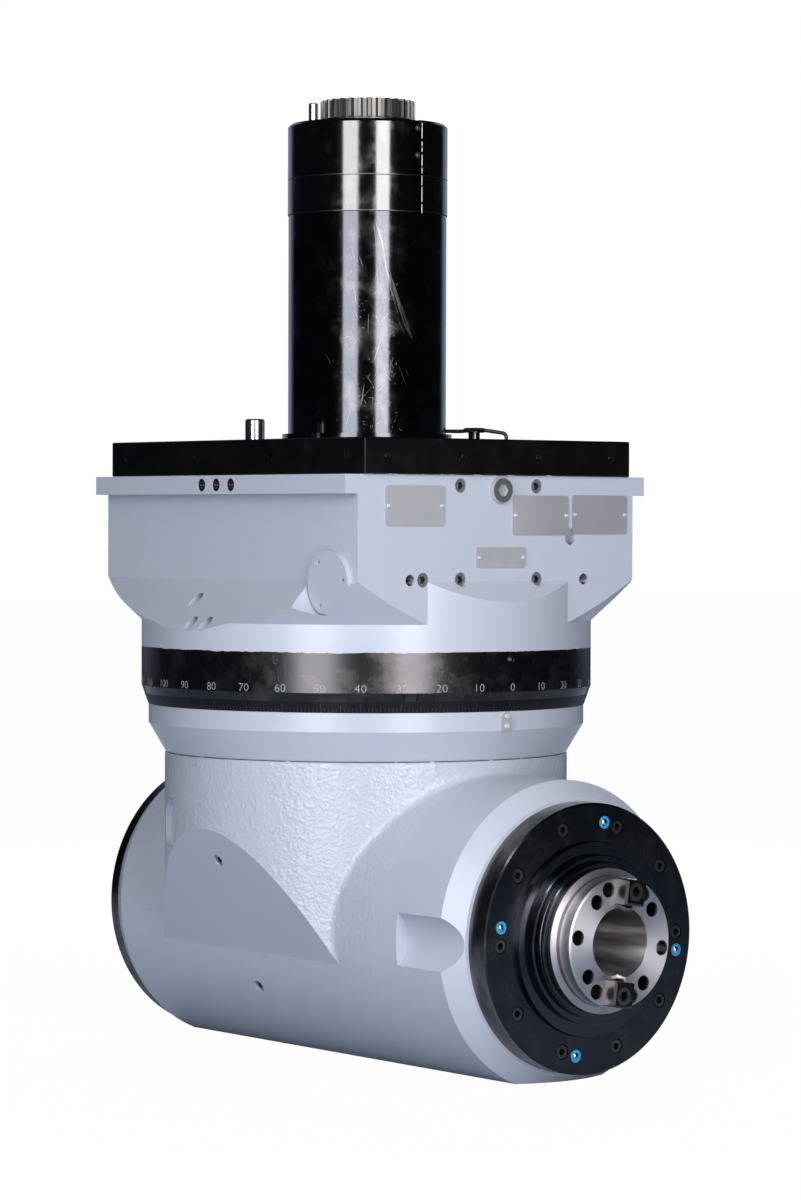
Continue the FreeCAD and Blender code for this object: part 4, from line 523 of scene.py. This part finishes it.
# Painted shade on socket walls and round the lip plugs; painted highlight on socket floors and lip plug
# middles.
for plug_mask, plug_colour in ((front_recess, (0.02, 0.02, 0.022, 1)),
                               (socket_floor_highlight, (0.42, 0.44, 0.45, 1)),
                               (on_lip, (0.75, 0.78, 0.79, 1)), (lip_hole_shadow, (0.012, 0.012, 0.014, 1))):
    plug_tone = mixed(plug_tree, plug_mask, plug_tone, plug_colour)
feed(plug_tree, plug_tone, plug_shader.inputs["Base Color"])
feed(plug_tree, ranged(plug_tree, noise(plug_tree, 250, 3, plug_where), 0.3, 0.7, 0.26, 0.42),
     plug_shader.inputs["Roughness"])
plug_shader.inputs["Metallic"].default_value = 0.6
dress(["housing_plugs"], plug_metal, bevel=0.0004)

# Oil plug: a larger plated plug with a pale hexagon socket, screwed down on a flat ring. The
# side plugs and the key strip's screws are zinc-plated steel too.
def speckled_material(name, scale, detail, first, second, roughness, metallic=0.0):
    """A plain finish whose colour wanders finely between two tones."""
    made, tree, shader = new_material(name)
    speckle = noise(tree, scale, detail, own_place(tree)[0])
    feed(tree, mixed(tree, speckle, first + (1,), second + (1,)), shader.inputs["Base Color"])
    shader.inputs["Roughness"].default_value = roughness
    shader.inputs["Metallic"].default_value = metallic
    return made

oil_metal = speckled_material("oil_plug_metal", 260, 3, (0.10, 0.11, 0.115), (0.15, 0.16, 0.165),
                              0.35, 0.35)
oil_tree = oil_metal.node_tree
oil_face_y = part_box("oil_plug")[0][1]
oil_recess = ranged(oil_tree, own_place(oil_tree)[1][1], oil_face_y + 0.0012, oil_face_y + 0.0018)
overlay(oil_metal, oil_recess, (0.44, 0.475, 0.47, 1))
zinc_steel = bright_material("zinc_steel", (0.36, 0.39, 0.40), 0.3)
dress(["oil_plug"], oil_metal, bevel=0.0004)
dress(["side_plugs", "key_strip_screws"], zinc_steel, bevel=0.0003)

# Name plates, pointer and oil plug's ring: satin aluminium sheet, all bare. The plates are held
# by rivets, the pointer by two small screws. The plates to the right get a painted shade, a darker
# colour.
sign_metal = bright_material("sign_metal", (0.49, 0.48, 0.52), 0.5, metallic=0.45)
sign_tree = sign_metal.node_tree
# Painted shade: plates further to the right are coloured darker.
to_the_right = ranged(sign_tree, own_place(sign_tree)[1][0], 0.02, 0.07, 0.0, 0.8)
overlay(sign_metal, to_the_right, (0.37, 0.36, 0.40, 1))
rivet_steel = bright_material("rivet_steel", (0.82, 0.82, 0.84), 0.22, metallic=0.35)
dress(["name_plates", "pointer", "oil_plug_ring"], sign_metal, bevel=0.0002)
dress(["plate_rivets"], rivet_steel, bevel=0.0004)
dress(["pointer_screws"], rivet_steel, bevel=0.0002)

# Coolant nozzles: four blue anodised rings set in the front flange, each holding a polished
# steel ball that is aimed by hand.
blue_ring = speckled_material("blue_anodised", 300, 2, (0.02, 0.33, 0.70), (0.04, 0.42, 0.80), 0.3, 0.3)
ball_steel = bright_material("ball_steel", (0.75, 0.75, 0.78), 0.12)
dress(["nozzle_rings"], blue_ring, bevel=0.0002)
dress(["nozzle_ball_1", "nozzle_ball_2", "nozzle_ball_3", "nozzle_ball_4"], ball_steel, bevel=0)

# Shaft seal, cable and its grommets: moulded black rubber. The cable is held at both ends, by
# the gland at the foot of the column and by the grommet in the plate.
rubber = speckled_material("black_rubber", 200, 2, (0.010, 0.010, 0.011), (0.018, 0.018, 0.02), 0.4)
dress(["shaft_seal", "cable_grommets", "signal_cable"], rubber, bevel=0)

# Column seams: the two rings of the column meet the sleeve with small turned chamfers, worn
# bright. Each seam is a fine bright line with the shadow of the groove under it.
def mesh_piece(name, body, material, corners, faces, smooth=False):
    """A piece of its own that rides on a body and stands for one material slot."""
    piece = bpy.data.objects.new(name, bpy.data.meshes.new(name))
    piece.data.from_pydata([tuple(corner) for corner in corners], [], faces)
    piece.data.materials.append(material)
    for face in piece.data.polygons:
        face.use_smooth = smooth
    bpy.context.scene.collection.objects.link(piece)
    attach(piece, body)

def swept(profile, first, last, steps, corners, faces):
    """Sweeps (radius, height) pairs round the swivel axis between two angles in degrees; 0 is
    the nose side."""
    start = len(corners)
    for step in range(steps + 1):
        angle = math.radians(first + (last - first) * step / steps)
        for radius, height in profile:
            corners.append((radius * math.sin(angle), -radius * math.cos(angle), height))
    across = len(profile)
    for step in range(steps):
        for side in range(across - 1):
            low = start + step * across + side
            faces.append((low, low + 1, low + across + 1, low + across))

random.seed(7)
sleeve_radius = 0.0825
upper_ring_radius = 0.0833
seam_bright = bright_material("seam_bright", (0.20, 0.20, 0.215), 0.3)
seam_dark = oxide_material("seam_dark", (0.02, 0.02, 0.022), (0.04, 0.04, 0.04), 0.3, 0.5)
seam_lift = 0.00006
for seam_name, seam_z, groove_radius in (("low_seam", 0.2357, sleeve_radius),
                                         ("high_seam", 0.2728, upper_ring_radius)):
    for part, material, low, high, radius in (("edge", seam_bright, 0.0, 0.0004, upper_ring_radius),
                                              ("groove", seam_dark, -0.0008, 0.0, groove_radius)):
        seam_corners, seam_faces = [], []
        swept([(radius + seam_lift, seam_z + low), (radius + seam_lift, seam_z + high)],
              0, 360, 180, seam_corners, seam_faces)
        mesh_piece("column_%s_%s" % (seam_name, part), "upper", material,
                   seam_corners, seam_faces, True)

# Column scratches: fine bright scores left by handling, most of them round the front of the
# sleeve. Each is a hair-thin strip that tapers to both ends.
sleeve_skin = sleeve_radius + 0.00004

def on_sleeve(angle, height):
    """A point just over the sleeve's surface."""
    return (sleeve_skin * math.sin(angle), -sleeve_skin * math.cos(angle), height)

def strip_faces_from(start, count, faces):
    """Joins pairs of corners, laid one after another, into a strip."""
    for rung in range(count):
        low = start + rung * 2
        faces.append((low, low + 1, low + 3, low + 2))

scratch_steel = bright_material("scratch_steel", (0.34, 0.34, 0.36), 0.35)
scratch_corners, scratch_faces = [], []
scratch_steps = 6
front_corner = -38.4
for score in range(46):
    middle = front_corner + random.gauss(12, 22)
    height = random.uniform(0.02, 0.222)
    length = random.choice((0.004, 0.007, 0.012, 0.024))
    lean = random.gauss(0, 5)
    width = random.uniform(0.00012, 0.00035)
    start = len(scratch_corners)
    for step in range(scratch_steps + 1):
        share = step / scratch_steps - 0.5
        angle = math.radians(middle + lean * share)
        half = width / 2 * (1 - (2 * share) ** 2) / sleeve_skin
        for side in (-half, half):
            scratch_corners.append(on_sleeve(angle + side, height + length * share))
    strip_faces_from(start, scratch_steps, scratch_faces)
mesh_piece("column_scratches", "upper", scratch_steel, scratch_corners, scratch_faces)

# Scale band and degree marks: the lower half of the ring's chamfer is turned a little deeper and
# carries one fine line per degree, with a longer one every five and ten degrees.
scale_radius = 0.2345
chamfer_top = (scale_radius, -0.2524)
chamfer_foot = (0.2275, -0.2720)

def on_chamfer(share, lift):
    """A point on the ring's chamfer: share 0 at its top edge, 1 at its foot."""
    return (chamfer_top[0] + (chamfer_foot[0] - chamfer_top[0]) * share + lift,
            chamfer_top[1] + (chamfer_foot[1] - chamfer_top[1]) * share)

pointer_degrees = 0.8
band_dark = oxide_material("band_dark", (0.030, 0.028, 0.036), (0.05, 0.045, 0.05), 0.5, 0.42)
band_corners, band_faces = [], []
swept([on_chamfer(0.44, 0.00002), on_chamfer(0.47, 0.00007), on_chamfer(0.985, 0.00007)],
      0, 360, 240, band_corners, band_faces)
mesh_piece("graduation_band", "upper", band_dark, band_corners, band_faces, True)
mark_ink = oxide_material("mark_ink", (0.10, 0.098, 0.11), (0.16, 0.155, 0.16), 0.6, 0.4)
mark_corners, mark_faces = [], []
mark_half = 0.09
mark_lift = 0.00011
for degree in range(360):
    reach = 0.56 if degree % 10 == 0 else 0.66 if degree % 5 == 0 else 0.76
    mark_turn = pointer_degrees - degree
    swept([on_chamfer(reach, mark_lift), on_chamfer(0.975, mark_lift)],
          mark_turn - mark_half, mark_turn + mark_half, 1, mark_corners, mark_faces)
mesh_piece("degree_marks", "upper", mark_ink, mark_corners, mark_faces)

# Ring joints: the scale ring is bent from two strips; the joints show as dark lines down the ring,
# with stamped dots beside them.
joint_radius = scale_radius + 0.00006
joint_half = 0.16
dot_half = 0.25
joint_corners, joint_faces = [], []
for joint in (-39.3, -219.3):
    swept([(joint_radius, -0.2126), (joint_radius, -0.2523)], joint - joint_half, joint + joint_half,
          1, joint_corners, joint_faces)
    for offset in (10.6, 14.0):
        swept([on_chamfer(0.08, 0.0001), on_chamfer(0.40, 0.0001)], joint + offset - dot_half,
              joint + offset + dot_half, 2, joint_corners, joint_faces)
mesh_piece("scale_ring_joints", "upper", seam_dark, joint_corners, joint_faces)

# Paint edge on the ring: the grey enamel of the housing was brushed up to the black ring, and
# laps over it by up to a millimetre in an uneven line.
lap_radius = scale_radius + 0.00005
lap_corners, lap_faces = [], []
lap_steps = 900
lap_drift = 0.0
for step in range(lap_steps):
    angle = math.tau * step / lap_steps
    lap_drift = 0.82 * lap_drift + random.gauss(0, 0.00022)
    drop = min(0.0012, max(0.0, 0.00018 + lap_drift))
    for height in (-0.2117, -0.2120 - drop):
        lap_corners.append((lap_radius * math.sin(angle), -lap_radius * math.cos(angle), height))
for step in range(lap_steps):
    low = step * 2
    far = (step + 1) % lap_steps * 2
    lap_faces.append((low, low + 1, far + 1, far))
mesh_piece("ring_paint_edge", "upper", smooth_enamel, lap_corners, lap_faces)

# Paint edge on the plate: the same brushed enamel where the housing's top meets the black
# mounting plate, along all four of its sides.
plate_half_x = 0.1725
plate_half_y = 0.219
plate_bottom = -0.0365
plate_skin = 0.00006
plate_steps = 260
paint_corners, paint_faces = [], []
for start_x, start_y, end_x, end_y in ((-1, -1, 1, -1), (1, -1, 1, 1), (1, 1, -1, 1), (-1, 1, -1, -1)):
    run = Vector((end_x - start_x, end_y - start_y)) / 2
    out = Vector((run.y, -run.x))
    start = len(paint_corners)
    lap_drift = 0.0
    for step in range(plate_steps + 1):
        share = step / plate_steps
        x = plate_half_x * (start_x + (end_x - start_x) * share) + out.x * plate_skin
        y = plate_half_y * (start_y + (end_y - start_y) * share) + out.y * plate_skin
        lap_drift = 0.72 * lap_drift + random.gauss(0, 0.0003)
        rise = min(0.0016, max(0.0, lap_drift - 0.0001))
        paint_corners.append((x, y, plate_bottom + rise))
        paint_corners.append((x, y, plate_bottom - 0.0001))
    strip_faces_from(start, plate_steps, paint_faces)
mesh_piece("plate_paint_edge", "upper", smooth_enamel, paint_corners, paint_faces)

# Joint of flange and casting: the swivelling flange sits on the neck of the lower housing, and
# the dark gap line between them is bridged here and there by paint.
gap_radius = 0.2099 + 0.0002
gap_corners, gap_faces = [], []
gap_turn = 0.0
while gap_turn < 360:
    length = random.uniform(9, 34)
    gap_end = min(gap_turn + length, 360)
    swept([(gap_radius, -0.3216), (gap_radius, -0.3222)], gap_turn, gap_end,
          max(2, int(length / 2)), gap_corners, gap_faces)
    gap_turn = gap_end + random.uniform(0.4, 1.6)
mesh_piece("neck_joint_line", "swivel_head", seam_dark, gap_corners, gap_faces)

# Key strip glint: the edge of the slot to the right of the column's key strip. The oxide is worn
# off it in short lengths, pale strips that also stand as a painted highlight along the edge.
nick_and_glint_steel = bright_material("nick_and_glint_steel", (0.55, 0.55, 0.57), 0.5, metallic=0.5)
glint_top = 0.3268
glint_gap = 0.0006
glint_corners, glint_faces = [], []
glint_random = random.Random(11)
glint_low = 0.2345
while glint_low < glint_top - glint_gap:
    glint_high = min(glint_low + glint_random.uniform(0.003, 0.016), glint_top)
    start = len(glint_corners)
    for edge_x, edge_rise in ((0.0056, 0.00005), (0.0062, 0.00040)):
        edge_y = -math.sqrt(upper_ring_radius ** 2 - edge_x ** 2) - edge_rise
        glint_corners += [(edge_x, edge_y, glint_low), (edge_x, edge_y, glint_high)]
    glint_faces.append((start, start + 2, start + 3, start + 1))
    glint_low = glint_high + glint_random.uniform(glint_gap, 0.0040)
mesh_piece("key_strip_glint", "upper", nick_and_glint_steel, glint_corners, glint_faces)

# Column nicks: small dents and specks knocked into the sleeve by handling, up to two
# millimetres long and thickest near its foot.
nick_corners, nick_faces = [], []
for nick in range(190):
    middle = math.radians(random.choice((-51, -38, -28, -21)) + random.gauss(0, 6))
    height = 0.004 + 0.2 * random.random() ** 1.6
    half_long = random.uniform(0.0002, 0.0011)
    half_wide = random.uniform(0.00007, 0.00016)
    lean = random.uniform(0, math.pi)
    start = len(nick_corners)
    for along, across in ((-1, 0), (0, -1), (1, 0), (0, 1)):
        across_way = along * half_long * math.cos(lean) - across * half_wide * math.sin(lean)
        up_way = along * half_long * math.sin(lean) + across * half_wide * math.cos(lean)
        nick_corners.append(on_sleeve(middle + across_way / sleeve_skin, height + up_way))
    nick_faces.append((start, start + 1, start + 2, start + 3))
mesh_piece("column_nicks", "upper", nick_and_glint_steel, nick_corners, nick_faces)

# Column scuff: a long curved rub mark where a sling has polished the sleeve, made of fine lines
# that follow one path of (degrees, height) pairs.
scuff_path = [(-33.0, 0.229), (-28.5, 0.206), (-24.5, 0.178), (-17.5, 0.149), (-10.0, 0.119),
              (-3.0, 0.103)]
scuff_steps = 12
scuff_corners, scuff_faces = [], []
for line in range(60):
    shift = random.gauss(0, 1.7)
    first = random.uniform(0, 0.85)
    last = min(1.0, first + random.uniform(0.06, 0.26))
    width = random.uniform(0.00008, 0.00022)
    start = len(scuff_corners)
    for step in range(scuff_steps + 1):
        share = first + (last - first) * step / scuff_steps
        spot = share * (len(scuff_path) - 1)
        index = min(int(spot), len(scuff_path) - 2)
        here, ahead = scuff_path[index], scuff_path[index + 1]
        angle = here[0] + (ahead[0] - here[0]) * (spot - index)
        height = here[1] + (ahead[1] - here[1]) * (spot - index)
        half = width / 2 * math.sin(math.pi * (step + 0.5) / (scuff_steps + 1)) / sleeve_skin
        angle = math.radians(angle + shift * (0.5 + share * 0.7) + 0.5 * math.sin(9 * share + shift))
        for side in (-half, half):
            scuff_corners.append(on_sleeve(angle + side, height))
    strip_faces_from(start, scuff_steps, scuff_faces)
mesh_piece("column_scuff", "upper", scratch_steel, scuff_corners, scuff_faces)

# Open screw holes: the two free holes low in the front face, with a painted shade inside:
# near-black floor discs and darkened cut threads that still catch the light.
hole_floor_shade = oxide_material("hole_floor_shade", (0.02, 0.02, 0.022), (0.035, 0.033, 0.03), 0.4, 0.45)
# Painted shade: the thread steel is coloured dark for the shade inside the holes.
thread_steel = bright_material("thread_steel", (0.13, 0.13, 0.135), 0.3)
thread_corners, thread_faces, bottom_corners, bottom_faces = [], [], [], []
thread_pitch = 0.0015
thread_turns = 9
thread_sides = 40
thread_root = 0.00562
thread_crest = 0.0048
thread_mouth_y = -0.2148
hole_radius = 0.0056
hole_bottom_y = -0.2055
hole_z = -0.1407
for hole_x in (-0.1135, 0.1125):
    start = len(thread_corners)
    for turn in range(thread_turns):
        for side in range(thread_sides):
            angle = 2 * math.pi * side / thread_sides
            for share, radius in ((0.0, thread_root), (0.5, thread_crest)):
                depth = thread_mouth_y + thread_pitch * (turn + share + side / thread_sides)
                thread_corners.append((hole_x + radius * math.cos(angle), depth,
                                       hole_z + radius * math.sin(angle)))
    for rung in range((thread_turns - 1) * thread_sides - 1):
        low = start + rung * 2
        low_next = low + thread_sides * 2
        thread_faces.append((low, low + 1, low + 3, low + 2))
        thread_faces.append((low + 1, low_next, low_next + 2, low + 3))
    start = len(bottom_corners)
    for side in range(thread_sides):
        angle = 2 * math.pi * side / thread_sides
        bottom_corners.append((hole_x + hole_radius * math.cos(angle), hole_bottom_y,
                               hole_z + hole_radius * math.sin(angle)))
    bottom_faces.append(tuple(range(start, start + thread_sides)))
mesh_piece("open_hole_threads", "upper", thread_steel, thread_corners, thread_faces)
mesh_piece("open_hole_floors", "upper", hole_floor_shade, bottom_corners, bottom_faces)

# Scale numbers: every ten degrees both ways from the pointer, etched light on the black ring.
# Each label is written flat, turned into a mesh and bent round the ring.
number_radius = 0.23455
number_height = 0.0080
capital_share = 0.7
number_z = -0.2517
number_spread = 1.12
number_ink = speckled_material("number_ink", 400, 3, (0.22, 0.22, 0.235), (0.44, 0.43, 0.44), 0.5)
number_corners, number_faces = [], []
for step in range(36):
    writing = bpy.data.curves.new("number", "FONT")
    writing.body = str(step * 10 if step <= 18 else 360 - step * 10)
    writing.size = number_height / capital_share
    writing.align_x = "CENTER"
    writing.resolution_u = 3
    writing.offset = -0.00022
    writing.extrude = 0.00003
    holder = bpy.data.objects.new("number", writing)
    bpy.context.scene.collection.objects.link(holder)
    bpy.context.view_layer.update()
    flat = bpy.data.meshes.new_from_object(
        holder.evaluated_get(bpy.context.evaluated_depsgraph_get()))
    bpy.data.objects.remove(holder)
    turn = math.radians(pointer_degrees - 10 * step)
    start = len(number_corners)
    for corner in flat.vertices:
        angle = turn + corner.co.x * number_spread / number_radius
        radius = number_radius + corner.co.z
        number_corners.append((radius * math.sin(angle), -radius * math.cos(angle),
                               number_z + corner.co.y))
    number_faces += [tuple(start + index for index in face.vertices) for face in flat.polygons]
mesh_piece("scale_numbers", "upper", number_ink, number_corners, number_faces)
